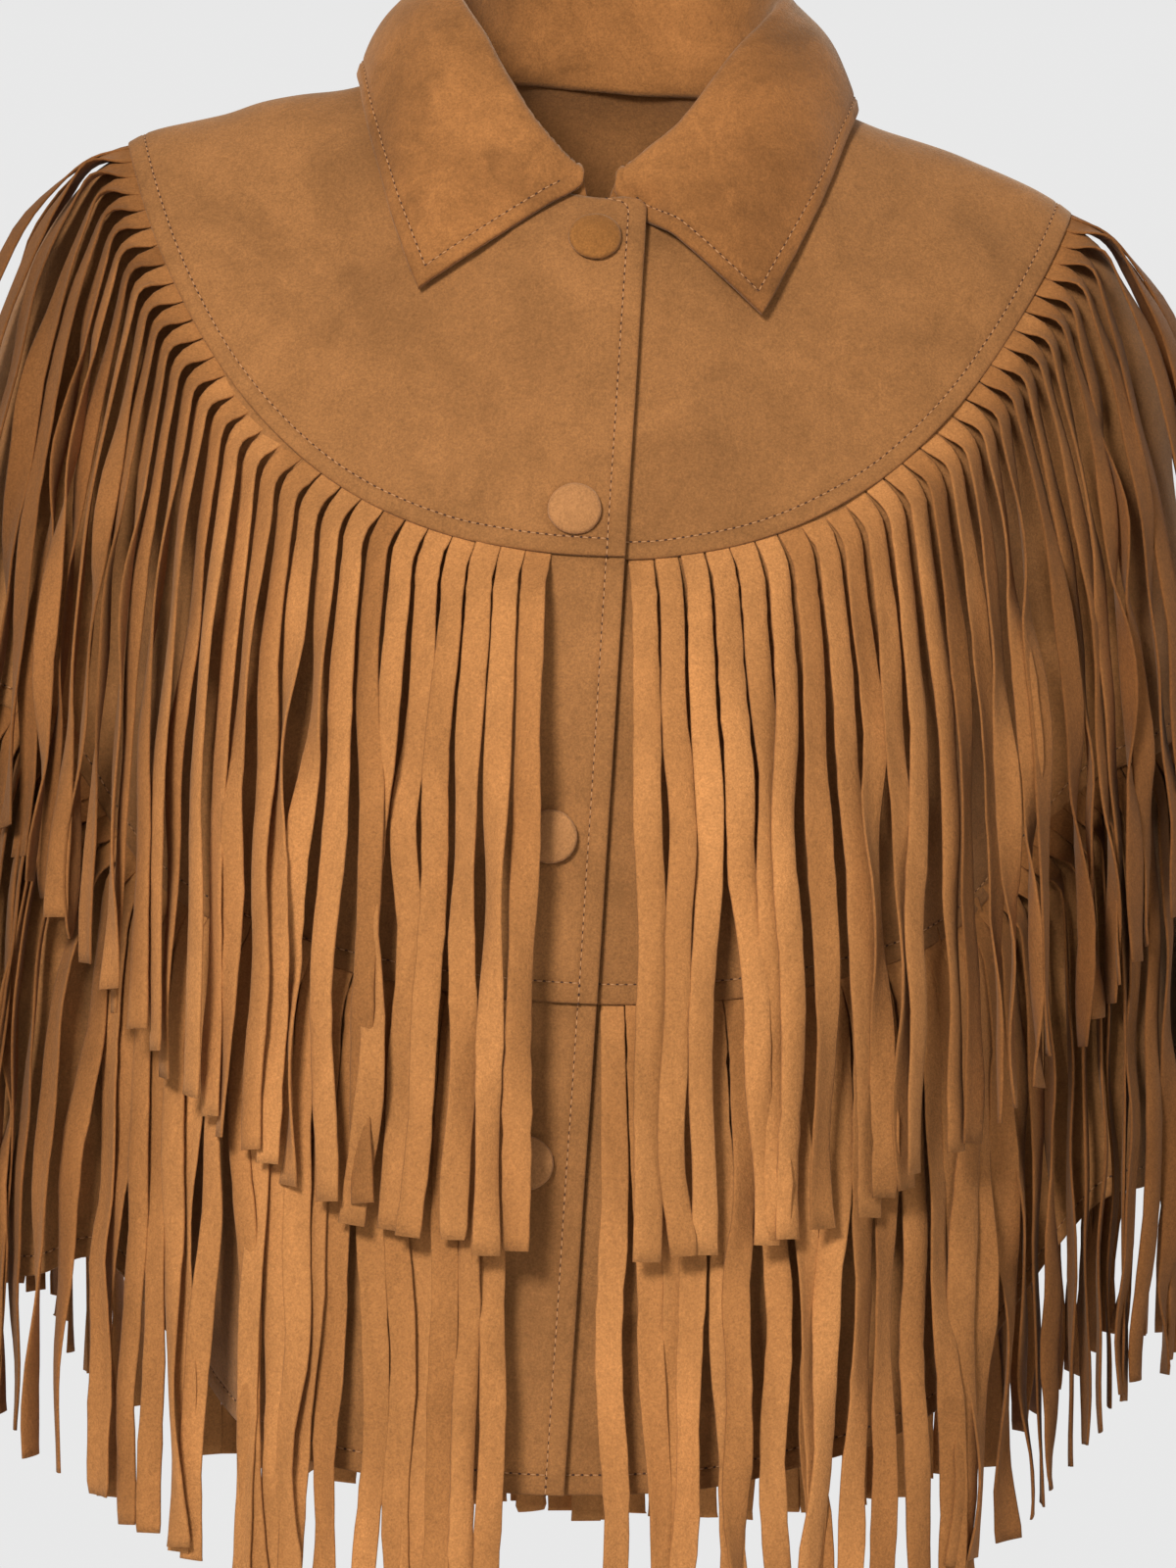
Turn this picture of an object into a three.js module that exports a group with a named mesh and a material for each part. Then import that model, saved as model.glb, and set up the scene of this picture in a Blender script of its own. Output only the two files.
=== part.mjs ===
// A worn, cropped suede cape: pointed collar, round yoke, snapped front and two tiers of cut fringe.
// Millimetres, +Z up, the front faces -Y and +X is the viewer's right.
// The origin lies between the shoulders, at the height of the yoke's ends, where the wearer holds the cape up.
import * as THREE from "three";

const { degToRad, clamp, lerp, smoothstep } = THREE.MathUtils;

// Suede and seams
const WALL = 1.8;
const COLLAR_WALL = 2.4;
const STRAND_WALL = 1;
const SEAM_GAP = 0.4;
const TIER_STEP = 2.3; // each row of panels lies this far inside the row above it
const SUEDE = { color: 0xb9854f, roughness: 0.95, metalness: 0 };

// Stance: the wearer leans, so the hem swings to the viewer's left
const LEAN = degToRad(4.2);
const GRAVITY = new THREE.Vector3(Math.sin(LEAN), 0, -Math.cos(LEAN));
const DOWN_CAPE = new THREE.Vector3(0, 0, -1);
const ARM_SIDE = { from: 190, to: 262 }; // strands out here follow the arm instead of hanging plumb

// Closure: the right front laps over the left front at the centre line
const PLACKET_EDGE = { top: 19.5, hem: 24.5 };
const UNDERLAP_EDGE = 22;
const CLOSURE_LIFT = 2.3;
const CLOSURE_FADE = { from: 30, to: 48 };

// Sections of the cape, one row for each step of t from the neck to the hem
const RINGS = [
  { name: "neck", halfWidth: 66, front: 66, back: 56, zFront: -8, zSide: 48, zBack: 54 },
  { name: "collar line", halfWidth: 105, front: 84, back: 78, zFront: -40, zSide: 36, zBack: 22 },
  { name: "upper yoke", halfWidth: 152, front: 101, back: 97, zFront: -98, zSide: 23, zBack: -55 },
  { name: "yoke seam", halfWidth: 197, front: 118, back: 110, zFront: -157, zSide: 5, zBack: -140 },
  { name: "shoulder turn", halfWidth: 228, front: 130, back: 118, zFront: -205, zSide: -32, zBack: -190 },
  { name: "upper arm", halfWidth: 250, front: 137, back: 122, zFront: -262, zSide: -104, zBack: -250 },
  { name: "middle seam", halfWidth: 264, front: 142, back: 126, zFront: -334, zSide: -196, zBack: -320 },
  { name: "lower panel", halfWidth: 272, front: 147, back: 132, zFront: -431, zSide: -288, zBack: -417 },
  { name: "hem", halfWidth: 276, front: 151, back: 138, zFront: -528, zSide: -380, zBack: -514 },
];

// What the arms and the drape do to each section. The valleys lie between the arms and the body, in mm from the
// centre line on the wearer's right and left. The cloth beyond them rides up by rise.
const DRAPE = [
  { t: 0, dent: 0, rise: 0, fold: 0, valleyRight: 188, valleyLeft: 188 },
  { t: 2, dent: 0, rise: 0, fold: 0, valleyRight: 188, valleyLeft: 188 },
  { t: 3, dent: 4, rise: 0, fold: 0, valleyRight: 188, valleyLeft: 188 },
  { t: 4, dent: 16, rise: 4, fold: 0.1, valleyRight: 188, valleyLeft: 188 },
  { t: 5, dent: 26, rise: 14, fold: 0.3, valleyRight: 187, valleyLeft: 189 },
  { t: 6, dent: 30, rise: 28, fold: 0.5, valleyRight: 180, valleyLeft: 190 },
  { t: 7, dent: 32, rise: 36, fold: 0.8, valleyRight: 160, valleyLeft: 197 },
  { t: 8, dent: 34, rise: 42, fold: 1, valleyRight: 140, valleyLeft: 204 },
];
const T = { neck: 0, yokeSeam: 3, middleSeam: 6, hem: 8 };
const YOKE_TOP = 0.06;
const LAP = { middle: 2.86, lower: 5.9 }; // the top edges of panels tucked up behind the ones above
const FALL = { square: 1.807, cube: -0.582, fourth: -0.225 }; // how a ring's height falls from its side to its ends
const VALLEY = { width: 28, backShare: 0.35 };
const ARM_RISE = { beyond: 25, width: 30 };
const SHOULDER_SEAM = 97; // degrees round from the centre front

// The largest folds of the drape: degrees round from the centre front, width in degrees, depth in mm at the hem
const FOLDS = [
  { at: 27, width: 7, depth: -7 },
  { at: -29, width: 7, depth: -7 },
  { at: 62, width: 7, depth: 5 },
  { at: -62, width: 7, depth: 5 },
  { at: 118, width: 8, depth: 6 },
  { at: -116, width: 8, depth: 6 },
  { at: 146, width: 8, depth: -7 },
  { at: -148, width: 8, depth: -7 },
  { at: 166, width: 7, depth: 5 },
  { at: -168, width: 7, depth: 5 },
];

// The collar from its front edge (turn 0) to the centre back (turn 1)
const COLLAR = [
  { turn: 0, seam: 4, roll: 5.5, rollZ: 1.5, drop: 3.5, edge: 31.5, edgeT: 1.56, lift: 6 },
  { turn: 0.14, seam: 22, roll: 25, rollZ: 24, drop: 0, edge: 41.5, edgeT: 1.33, lift: 4.6 },
  { turn: 0.3, seam: 48, roll: 51, rollZ: 62, drop: 0, edge: 56, edgeT: 1.1, lift: 3.8 },
  { turn: 0.47, seam: 80, roll: 82, rollZ: 84, drop: 0, edge: 80, edgeT: 0.95, lift: 3.8 },
  { turn: 0.73, seam: 130, roll: 131, rollZ: 96, drop: 0, edge: 130, edgeT: 0.95, lift: 3.8 },
  { turn: 1, seam: 180, roll: 180, rollZ: 99, drop: 0, edge: 180, edgeT: 1.02, lift: 3.8 },
];
const ROLL = { halfWidth: 72, front: 68, back: 63, radius: 4.4, frontRadius: 2.2, fullAt: 0.14 };
const FALL_BULGE = { full: 5, atFront: 3 };

// Fringe
const STRIP_GAP = 1; // from the cut edge of the panel above
const STRIP_END_GAP = 1.5;
const STRIP_HEIGHT = 6;
const STRAND_FILL = 0.86; // strand width as a share of the pitch
const CREST_FILL = { fill: 0.5, from: 0.93, to: 0.99 }; // narrower where the seam peaks on the arm and strands crowd
const STRAND_STEP = 4; // walking step down a strand
const STRAND_TURN = 24; // length over which a strand turns from its seam to hang
const STRANDS_OVER_CLOSURE = { lift: 8, from: 12, to: 40 };
const UPPER_FRINGE = {
  t: T.yokeSeam,
  tier: 0,
  stations: [10, 26, 130, 276],
  fall: [
    { at: 0, lift: 0 },
    { at: 12, lift: 2.4 },
    { at: 34, lift: 3.6 },
    { at: 150, lift: 13 },
    { at: 276, lift: 14 },
  ],
};
const LOWER_FRINGE = {
  t: T.middleSeam,
  tier: 1,
  stations: [10, 26, 130, 248],
  fall: [
    { at: 0, lift: 0 },
    { at: 12, lift: 2.9 },
    { at: 34, lift: 4.2 },
    { at: 248, lift: 6 },
  ],
};

// Buttons: covered snap caps on the centre line
const BUTTON_HEIGHTS = [-28, -139, -269, -398];
const BUTTON_SEAT = 0.5;
const BUTTON_PROFILE = [
  { radius: 0, height: 0 },
  { radius: 9.8, height: 0 },
  { radius: 10.7, height: 0.9 },
  { radius: 10.5, height: 2.1 },
  { radius: 8.9, height: 3.5 },
  { radius: 5, height: 4.5 },
  { radius: 0, height: 4.8 },
];
const BUTTON_SIDES = 20;

// Mesh density
const FRONT_COLUMNS = 18;
const BACK_COLUMNS = 28;
const VALLEY_AT = 0.5; // fronts: the share of the columns before the arm's valley
const VALLEY_SPACING = degToRad(56); // fronts: how fast the columns pass the arm's valley, over the whole row
const COLLAR_COLUMNS = 36;

// A smooth curve through table rows: the value of one column at a place along another.
function along(rows, key, column, place) {
  const last = rows.length - 2;
  let i = 0;
  while (i < last && place > rows[i + 1][key]) i += 1;
  const slope = (k) => {
    const a = rows[Math.max(k - 1, 0)];
    const b = rows[Math.min(k + 1, rows.length - 1)];
    return (b[column] - a[column]) / (b[key] - a[key]);
  };
  const span = rows[i + 1][key] - rows[i][key];
  const u = (place - rows[i][key]) / span;
  const start = rows[i][column];
  const end = rows[i + 1][column];
  const bend = u * (1 - u) * span;
  const straight = lerp(start, end, u * u * (3 - 2 * u));
  return straight + bend * ((1 - u) * slope(i) - u * slope(i + 1));
}

const rings = RINGS.map((row, t) => ({ t, ...row }));
const ring = (column, t) => along(rings, "t", column, t);
const drape = (column, t) => along(DRAPE, "t", column, t);
const valleyAt = (side, t) => drape(side < 0 ? "valleyRight" : "valleyLeft", t);

// The cape's middle surface: theta runs round from the centre front to the viewer's right, t from neck to hem.
function cape(theta, t, isPlain = false) {
  const s = Math.sin(theta);
  const c = Math.cos(theta);
  const isFront = c >= 0;
  const x = ring("halfWidth", t) * s;
  const depth = ring(isFront ? "front" : "back", t);
  const zSide = ring("zSide", t);
  const zEnd = ring(isFront ? "zFront" : "zBack", t);
  const level = c * c * (FALL.square + FALL.cube * Math.abs(c) + FALL.fourth * c * c);
  const point = new THREE.Vector3(x, -depth * c, lerp(zSide, zEnd, level));
  if (isPlain) return point;
  const valley = valleyAt(x, t);
  const near = (place, width) => Math.exp(-(((Math.abs(x) - place) / width) ** 2));
  const dent = drape("dent", t) * near(valley, VALLEY.width) * (isFront ? 1 : VALLEY.backShare);
  point.y += dent * Math.sign(c) * smoothstep(Math.abs(c), 0, 0.3);
  point.z += drape("rise", t) * near(valley + ARM_RISE.beyond, ARM_RISE.width);
  let fold = 0;
  const degrees = (((theta * 180) / Math.PI + 540) % 360) - 180;
  for (const { at, width, depth: deep } of FOLDS) {
    const away = (degrees - at) / width;
    fold += deep * Math.exp(-away * away);
  }
  fold *= drape("fold", t);
  point.x += fold * s;
  point.y -= fold * c;
  return point;
}

// The surface at a place: its point, its two directions and its outward normal.
function placeOn(theta, t, isPlain = false) {
  const e = 1e-3;
  const at = (a, b) => cape(a, b, isPlain);
  const acrossRate = at(theta + e, t).sub(at(theta - e, t)).divideScalar(2 * e);
  const downRate = at(theta, t + e).sub(at(theta, t - e)).divideScalar(2 * e);
  const out = downRate.clone().cross(acrossRate).normalize();
  return { point: at(theta, t), acrossRate, downRate, out };
}

const thetaAtX = (x, t) => Math.asin(x / ring("halfWidth", t));

const placketEdge = (t) => lerp(PLACKET_EDGE.top, PLACKET_EDGE.hem, t / T.hem);

// How far a front lies off the shared surface where the two fronts lap: side is -1 for the right front.
function closureOffset(x, side) {
  const near = 1 - smoothstep(Math.abs(x), CLOSURE_FADE.from, CLOSURE_FADE.to);
  return -side * CLOSURE_LIFT * near;
}

// A closed wall over a grid of middle points with normals, columns along i and rows along j.
function wallOver(columns, rows, thickness, at) {
  const positions = [];
  const index = [];
  const stride = rows + 1;
  const count = (columns + 1) * stride;
  const outer = (i, j) => i * stride + j;
  const inner = (i, j) => count + i * stride + j;
  for (const side of [1, -1]) {
    for (let i = 0; i <= columns; i += 1) {
      for (let j = 0; j <= rows; j += 1) {
        const { point, normal } = at(i, j);
        const p = point.clone().addScaledVector(normal, (side * thickness) / 2);
        positions.push(p.x, p.y, p.z);
      }
    }
  }
  const quad = (a, b, c, d) => index.push(a, b, c, a, c, d);
  for (let i = 0; i < columns; i += 1) {
    for (let j = 0; j < rows; j += 1) {
      quad(outer(i, j), outer(i, j + 1), outer(i + 1, j + 1), outer(i + 1, j));
      quad(inner(i, j), inner(i + 1, j), inner(i + 1, j + 1), inner(i, j + 1));
    }
    quad(outer(i, 0), outer(i + 1, 0), inner(i + 1, 0), inner(i, 0));
    quad(outer(i + 1, rows), outer(i, rows), inner(i, rows), inner(i + 1, rows));
  }
  for (let j = 0; j < rows; j += 1) {
    quad(outer(0, j), inner(0, j), inner(0, j + 1), outer(0, j + 1));
    quad(outer(columns, j), outer(columns, j + 1), inner(columns, j + 1), inner(columns, j));
  }
  return closedGeometry(positions, index);
}

function closedGeometry(positions, index) {
  const geometry = new THREE.BufferGeometry();
  geometry.setAttribute("position", new THREE.Float32BufferAttribute(positions, 3));
  geometry.setIndex(index);
  geometry.computeVertexNormals();
  return geometry;
}

// The fronts have set columns beside the closure, in mm from the centre line.
const PANELS = {
  front_right: { side: -1, closure: (t) => [placketEdge(t), 4, -14, -30, -48] },
  front_left: { side: 1, closure: () => [-UNDERLAP_EDGE, -2, 14, 30, 48] },
  back: { side: 0 },
};
const CLOSURE_STEPS = 4;

// The angle of column i in a panel, with the columns in the order of growing theta.
function columnAngle(panel, i, t) {
  const seamInset = SEAM_GAP / 2 / ring("halfWidth", t);
  if (panel.side === 0) {
    const start = degToRad(SHOULDER_SEAM) + seamInset;
    const end = degToRad(360 - SHOULDER_SEAM) - seamInset;
    return lerp(start, end, i / BACK_COLUMNS);
  }
  const set = panel.closure(t);
  const k = panel.side > 0 ? i : columnsOf(panel) - i; // counted from the closure
  if (k <= CLOSURE_STEPS) return thetaAtX(set[k], t);
  if (k === columnsOf(panel)) return panel.side * (degToRad(SHOULDER_SEAM) - seamInset);
  const last = thetaAtX(set[CLOSURE_STEPS], t);
  const crest = (panel.side * Math.PI) / 2;
  const u = (k - CLOSURE_STEPS) / (FRONT_COLUMNS - 1);
  return lerp(lerp(last, crest, u), valleyAngle(last, crest, u, t), smoothstep(t, T.yokeSeam - 0.5, T.yokeSeam + 1));
}

// A column's angle where the columns crowd at the valley between arm and body.
function valleyAngle(last, crest, u, t) {
  const side = Math.sign(crest);
  const valley = side * Math.asin(Math.min(valleyAt(side, t) / ring("halfWidth", t), 0.98));
  const v = u - VALLEY_AT;
  const end = v < 0 ? last : crest;
  const reach = v < 0 ? -VALLEY_AT : 1 - VALLEY_AT;
  const bend = (end - valley - side * VALLEY_SPACING * reach) / reach ** 3;
  return valley + side * VALLEY_SPACING * v + bend * v ** 3;
}

const columnsOf = (panel) => (panel.side === 0 ? BACK_COLUMNS : FRONT_COLUMNS + CLOSURE_STEPS);

// One panel of suede between two heights of the cape, set inwards by its tier.
function panelGeometry(panel, { lines, tier }) {
  return wallOver(columnsOf(panel), lines.length - 1, WALL, (i, j) => {
    const t = lines[j];
    const place = placeOn(columnAngle(panel, i, t), t);
    const offset = -tier * TIER_STEP + closureOffset(place.point.x, panel.side);
    return { point: place.point.addScaledVector(place.out, offset), normal: place.out };
  });
}

// Each row of panels with the heights of its mesh lines. Lapped rows share lines, so their walls stay parallel.
const PANEL_ROWS = [
  { name: "yoke", tier: 0, lines: [YOKE_TOP, 0.65, 1.3, 1.9, 2.42, LAP.middle, T.yokeSeam] },
  { name: "middle", tier: 1, lines: [LAP.middle, T.yokeSeam, 3.45, 3.95, 4.55, 5.25, LAP.lower, T.middleSeam] },
  { name: "lower", tier: 2.1, lines: [LAP.lower, T.middleSeam, 6.6, 7.3, T.hem] },
];

const MESH_LINES = [...new Set(PANEL_ROWS.flatMap(({ lines }) => lines))].sort((a, b) => a - b);

// The place in a sorted list: the index of the cell and the share of it, held inside the list.
function cellOf(count, valueAt, wanted) {
  let cell = 0;
  while (cell < count - 1 && valueAt(cell + 1) < wanted) cell += 1;
  const start = valueAt(cell);
  return { cell, share: clamp((wanted - start) / (valueAt(cell + 1) - start), 0, 1) };
}

// The point over the panels' flat-faced mesh at a place of the smooth surface, so that the fringe lies clear of it.
function onFacets(theta, t, offset) {
  const turn = 2 * Math.PI;
  const seam = degToRad(SHOULDER_SEAM);
  const wound = ((((theta + seam) % turn) + turn) % turn) - seam;
  const panel = wound > seam ? PANELS.back : wound > 0 ? PANELS.front_left : PANELS.front_right;
  const row = cellOf(MESH_LINES.length - 1, (j) => MESH_LINES[j], t);
  const lines = [MESH_LINES[row.cell], MESH_LINES[row.cell + 1]];
  const angleAt = (i) => lerp(columnAngle(panel, i, lines[0]), columnAngle(panel, i, lines[1]), row.share);
  const column = cellOf(columnsOf(panel), angleAt, wound);
  const corner = (i, j) => {
    const line = lines[j];
    const { point, out } = placeOn(columnAngle(panel, column.cell + i, line), line);
    return point.addScaledVector(out, offset);
  };
  const upper = corner(0, 0).lerp(corner(1, 0), column.share);
  const lower = corner(0, 1).lerp(corner(1, 1), column.share);
  return upper.lerp(lower, row.share);
}

// The collar's middle line in section, from the neck seam up the stand, over the roll and down the fall.
function collarSection(turn, side) {
  const get = (column) => along(COLLAR, "turn", column, turn);
  const angle = (column) => side * degToRad(get(column));
  const seam = cape(angle("seam"), T.neck);
  const roll = angle("roll");
  const depth = Math.cos(roll) >= 0 ? ROLL.front : ROLL.back;
  const whole = smoothstep(turn, 0, ROLL.fullAt);
  const radius = lerp(ROLL.frontRadius, ROLL.radius, whole);
  const radial = new THREE.Vector3(Math.sin(roll), -Math.cos(roll), 0);
  const centre = new THREE.Vector3(ROLL.halfWidth * Math.sin(roll), -depth * Math.cos(roll), get("rollZ") - radius);
  const up = new THREE.Vector3(0, 0, 1);
  const inner = centre.clone().addScaledVector(radial, -radius);
  const top = centre.clone().addScaledVector(up, radius);
  const outer = centre.clone().addScaledVector(radial, radius).addScaledVector(up, -get("drop"));
  const edgePlace = placeOn(angle("edge"), get("edgeT"));
  const edge = edgePlace.point.addScaledVector(edgePlace.out, get("lift"));
  const bulgeWay = edgePlace.out.clone().add(radial).normalize();
  const bulge = lerp(FALL_BULGE.atFront, FALL_BULGE.full, whole);
  const fall = (v) => outer.clone().lerp(edge, v).addScaledVector(bulgeWay, bulge * 4 * v * (1 - v));
  return [seam, seam.clone().lerp(inner, 0.5), inner, top, outer, fall(0.3), fall(0.65), edge];
}

function collarGeometry() {
  const half = COLLAR_COLUMNS / 2;
  const sections = [];
  for (let i = 0; i <= COLLAR_COLUMNS; i += 1) {
    const side = i <= half ? 1 : -1;
    const turn = 1 - Math.abs(i - half) / half;
    sections.push(collarSection(turn, side));
  }
  const rows = sections[0].length - 1;
  return wallOver(COLLAR_COLUMNS, rows, COLLAR_WALL, (i, j) => {
    const across = sections[Math.min(i + 1, COLLAR_COLUMNS)][j].clone().sub(sections[Math.max(i - 1, 0)][j]);
    const down = sections[i][Math.min(j + 1, rows)].clone().sub(sections[i][Math.max(j - 1, 0)]);
    return { point: sections[i][j], normal: down.cross(across).normalize() };
  });
}

// Angles at equal distances along a seam, from one angle to another.
function evenAngles(t, from, to, count) {
  const samples = 600;
  const lengths = [0];
  let last = cape(from, t);
  for (let k = 1; k <= samples; k += 1) {
    const next = cape(lerp(from, to, k / samples), t);
    lengths.push(lengths[k - 1] + next.distanceTo(last));
    last = next;
  }
  const whole = lengths[samples];
  let k = 0;
  const angles = [];
  for (let n = 0; n <= count; n += 1) {
    const wanted = (whole * n) / count;
    while (k < samples - 1 && lengths[k + 1] < wanted) k += 1;
    const share = (wanted - lengths[k]) / (lengths[k + 1] - lengths[k]);
    angles.push(lerp(from, to, (k + share) / samples));
  }
  return { angles, pitch: whole / count };
}

// The place on the surface nearest to a point, from a place close to it.
function nearest(point, from, isPlain) {
  const place = { ...from };
  for (let k = 0; k < 3; k += 1) {
    const on = placeOn(place.theta, place.t, isPlain);
    const away = point.clone().sub(on.point);
    const aa = on.acrossRate.lengthSq();
    const ab = on.acrossRate.dot(on.downRate);
    const bb = on.downRate.lengthSq();
    const ra = away.dot(on.acrossRate);
    const rb = away.dot(on.downRate);
    const det = aa * bb - ab * ab;
    place.theta += (ra * bb - rb * ab) / det;
    place.t += (rb * aa - ra * ab) / det;
  }
  return place;
}

// A strand's sections at its stations. It leaves the seam squarely and turns to hang, edge over edge with its
// neighbours. Its line is walked on the plain surface, so that strands keep their order, and is sunk as deep into
// the valleys and folds as the cloth above it lets it.
function strandSections(theta0, pitch, fringe, side) {
  const crest = smoothstep(Math.abs(Math.sin(theta0)), CREST_FILL.from, CREST_FILL.to);
  const width = pitch * lerp(STRAND_FILL, CREST_FILL.fill, crest);
  const base = -fringe.tier * TIER_STEP;
  const root = placeOn(theta0, fringe.t);
  const along0 = root.acrossRate.clone().normalize();
  const away0 = root.out.clone().cross(along0).negate();
  const rise = -along0.dot(GRAVITY);
  let cloth = { theta: theta0, t: fringe.t + STRIP_HEIGHT / root.downRate.length() };
  const start = cape(cloth.theta, cloth.t);
  let place = nearest(start, cloth, true);
  const line = cape(place.theta, place.t, true);
  let { out } = placeOn(place.theta, place.t, true);
  let sunk = line.clone().sub(start).dot(out);
  const hang = GRAVITY.clone().lerp(DOWN_CAPE, smoothstep(Math.abs(start.x), ARM_SIDE.from, ARM_SIDE.to)).normalize();
  const heading = new THREE.Vector3();
  const sections = [];
  let walked = 0;
  for (const station of fringe.stations) {
    while (walked < station - 1e-6) {
      const step = Math.min(STRAND_STEP, station - walked);
      heading.copy(away0).lerp(hang, smoothstep(walked + step / 2, 0, STRAND_TURN));
      if (cloth.t < T.hem) {
        heading.addScaledVector(out, -heading.dot(out)).normalize();
        line.addScaledVector(heading, step);
        place = nearest(line, place, true);
        out = placeOn(place.theta, place.t, true).out;
        const point = line.clone().addScaledVector(out, -sunk);
        cloth = nearest(point, cloth, false);
        const under = placeOn(cloth.theta, cloth.t);
        const depth = under.point.clone().sub(point).dot(under.out);
        if (depth > 0) sunk -= depth / Math.max(under.out.dot(out), 0.3);
      } else {
        line.addScaledVector(heading.normalize(), step);
      }
      walked += step;
    }
    const turned = smoothstep(walked, 0, STRAND_TURN);
    const { x } = line;
    const overClosure = 1 - smoothstep(Math.abs(x), STRANDS_OVER_CLOSURE.from, STRANDS_OVER_CLOSURE.to);
    const lift =
      along(fringe.fall, "at", "lift", walked) +
      turned * (0.5 * width * Math.abs(rise) + STRANDS_OVER_CLOSURE.lift * overClosure) +
      closureOffset(x, side);
    const point = line.clone().addScaledVector(out, base + lift - sunk);
    const level = out.clone().cross(hang).normalize();
    if (level.dot(along0) < 0) level.negate();
    const hung = level.multiplyScalar(Math.sqrt(1 - rise * rise)).addScaledVector(out, -rise);
    const widthWay = along0.clone().lerp(hung, turned).normalize();
    widthWay.addScaledVector(heading, -widthWay.dot(heading)).normalize();
    const normal = heading.clone().cross(widthWay).normalize();
    sections.push([
      [-1, 1],
      [1, 1],
      [1, -1],
      [-1, -1],
    ].map(([w, n]) =>
      point
        .clone()
        .addScaledVector(widthWay, (w * width) / 2)
        .addScaledVector(normal, (n * STRAND_WALL) / 2),
    ));
  }
  return sections;
}

// A comb of strands on a narrow strip that butts on the edge of the panel above.
function fringeGeometry(fringe, { from, to, count, side }) {
  const { angles, pitch } = evenAngles(fringe.t, from, to, count);
  const positions = [];
  const index = [];
  const push = (p) => positions.push(p.x, p.y, p.z) / 3 - 1;
  const quad = (a, b, c, d) => index.push(a, b, c, a, c, d);
  const base = -fringe.tier * TIER_STEP;
  const column = (theta) => {
    const { point, downRate } = placeOn(theta, fringe.t);
    const offset = base + closureOffset(point.x, side);
    const corner = (down, way) => onFacets(theta, fringe.t + down / downRate.length(), offset + (way * STRAND_WALL) / 2);
    return {
      topOut: push(corner(STRIP_GAP, 1)),
      topIn: push(corner(STRIP_GAP, -1)),
      lowOut: push(corner(STRIP_HEIGHT, 1)),
      lowIn: push(corner(STRIP_HEIGHT, -1)),
    };
  };
  const joinColumns = (a, b) => {
    quad(a.topOut, a.lowOut, b.lowOut, b.topOut);
    quad(a.topIn, b.topIn, b.lowIn, a.lowIn);
    quad(a.topOut, b.topOut, b.topIn, a.topIn);
  };
  let last = null;
  for (let n = 0; n < count; n += 1) {
    const middle = (angles[n] + angles[n + 1]) / 2;
    const half = ((angles[n + 1] - angles[n]) / 2) * STRAND_FILL;
    const a = column(middle - half);
    const b = column(middle + half);
    if (last) {
      joinColumns(last, a);
      quad(last.lowOut, last.lowIn, a.lowIn, a.lowOut);
    } else {
      quad(a.topOut, a.topIn, a.lowIn, a.lowOut);
    }
    joinColumns(a, b);
    let above = [a.lowOut, b.lowOut, b.lowIn, a.lowIn];
    for (const section of strandSections(middle, pitch, fringe, side)) {
      const below = section.map(push);
      quad(above[0], below[0], below[1], above[1]);
      quad(above[1], below[1], below[2], above[2]);
      quad(below[2], below[3], above[3], above[2]); // split like the face, so that a twisted strand stays whole
      quad(above[3], below[3], below[0], above[0]);
      above = below;
    }
    quad(above[3], above[2], above[1], above[0]);
    last = b;
  }
  quad(last.topOut, last.lowOut, last.lowIn, last.topIn);
  return closedGeometry(positions, index);
}

// Where the front strips of fringe start beside the closure, in mm from the centre line or from the placket's edge
const FRINGE_START = { right: -8, beyondPlacket: 1.5 };
const FRINGE_STRIPS = [
  { name: "fringe_upper_front_right", fringe: UPPER_FRINGE, side: -1, count: 26 },
  { name: "fringe_upper_front_left", fringe: UPPER_FRINGE, side: 1, count: 24 },
  { name: "fringe_upper_back", fringe: UPPER_FRINGE, side: 0, count: 44 },
  { name: "fringe_lower_front_right", fringe: LOWER_FRINGE, side: -1, count: 32 },
  { name: "fringe_lower_front_left", fringe: LOWER_FRINGE, side: 1, count: 30 },
  { name: "fringe_lower_back", fringe: LOWER_FRINGE, side: 0, count: 48 },
];

function stripRange({ fringe, side }) {
  const seam = degToRad(SHOULDER_SEAM);
  const inset = STRIP_END_GAP / ring("front", fringe.t);
  if (side < 0) return { from: -seam + inset, to: thetaAtX(FRINGE_START.right, fringe.t) };
  const left = placketEdge(fringe.t) + FRINGE_START.beyondPlacket;
  if (side > 0) return { from: thetaAtX(left, fringe.t), to: seam - inset };
  return { from: seam + inset, to: 2 * Math.PI - seam - inset };
}

function buttonMesh(height) {
  let low = 0;
  let high = T.hem;
  while (high - low > 1e-6) {
    const middle = (low + high) / 2;
    if (cape(0, middle).z > height) low = middle;
    else high = middle;
  }
  const { point, out } = placeOn(0, low);
  const tier = PANEL_ROWS.findIndex(({ lines }) => low <= lines[lines.length - 1]);
  const seat = CLOSURE_LIFT - tier * TIER_STEP + WALL / 2 + BUTTON_SEAT;
  const profile = BUTTON_PROFILE.map(({ radius, height: h }) => new THREE.Vector2(radius, h));
  const mesh = suedeMesh(new THREE.LatheGeometry(profile, BUTTON_SIDES));
  mesh.position.copy(point.addScaledVector(out, seat));
  mesh.quaternion.setFromUnitVectors(new THREE.Vector3(0, 1, 0), out);
  return mesh;
}

function suedeMesh(geometry, name) {
  const mesh = new THREE.Mesh(geometry, new THREE.MeshStandardMaterial(SUEDE));
  if (name) mesh.name = name;
  return mesh;
}

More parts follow.
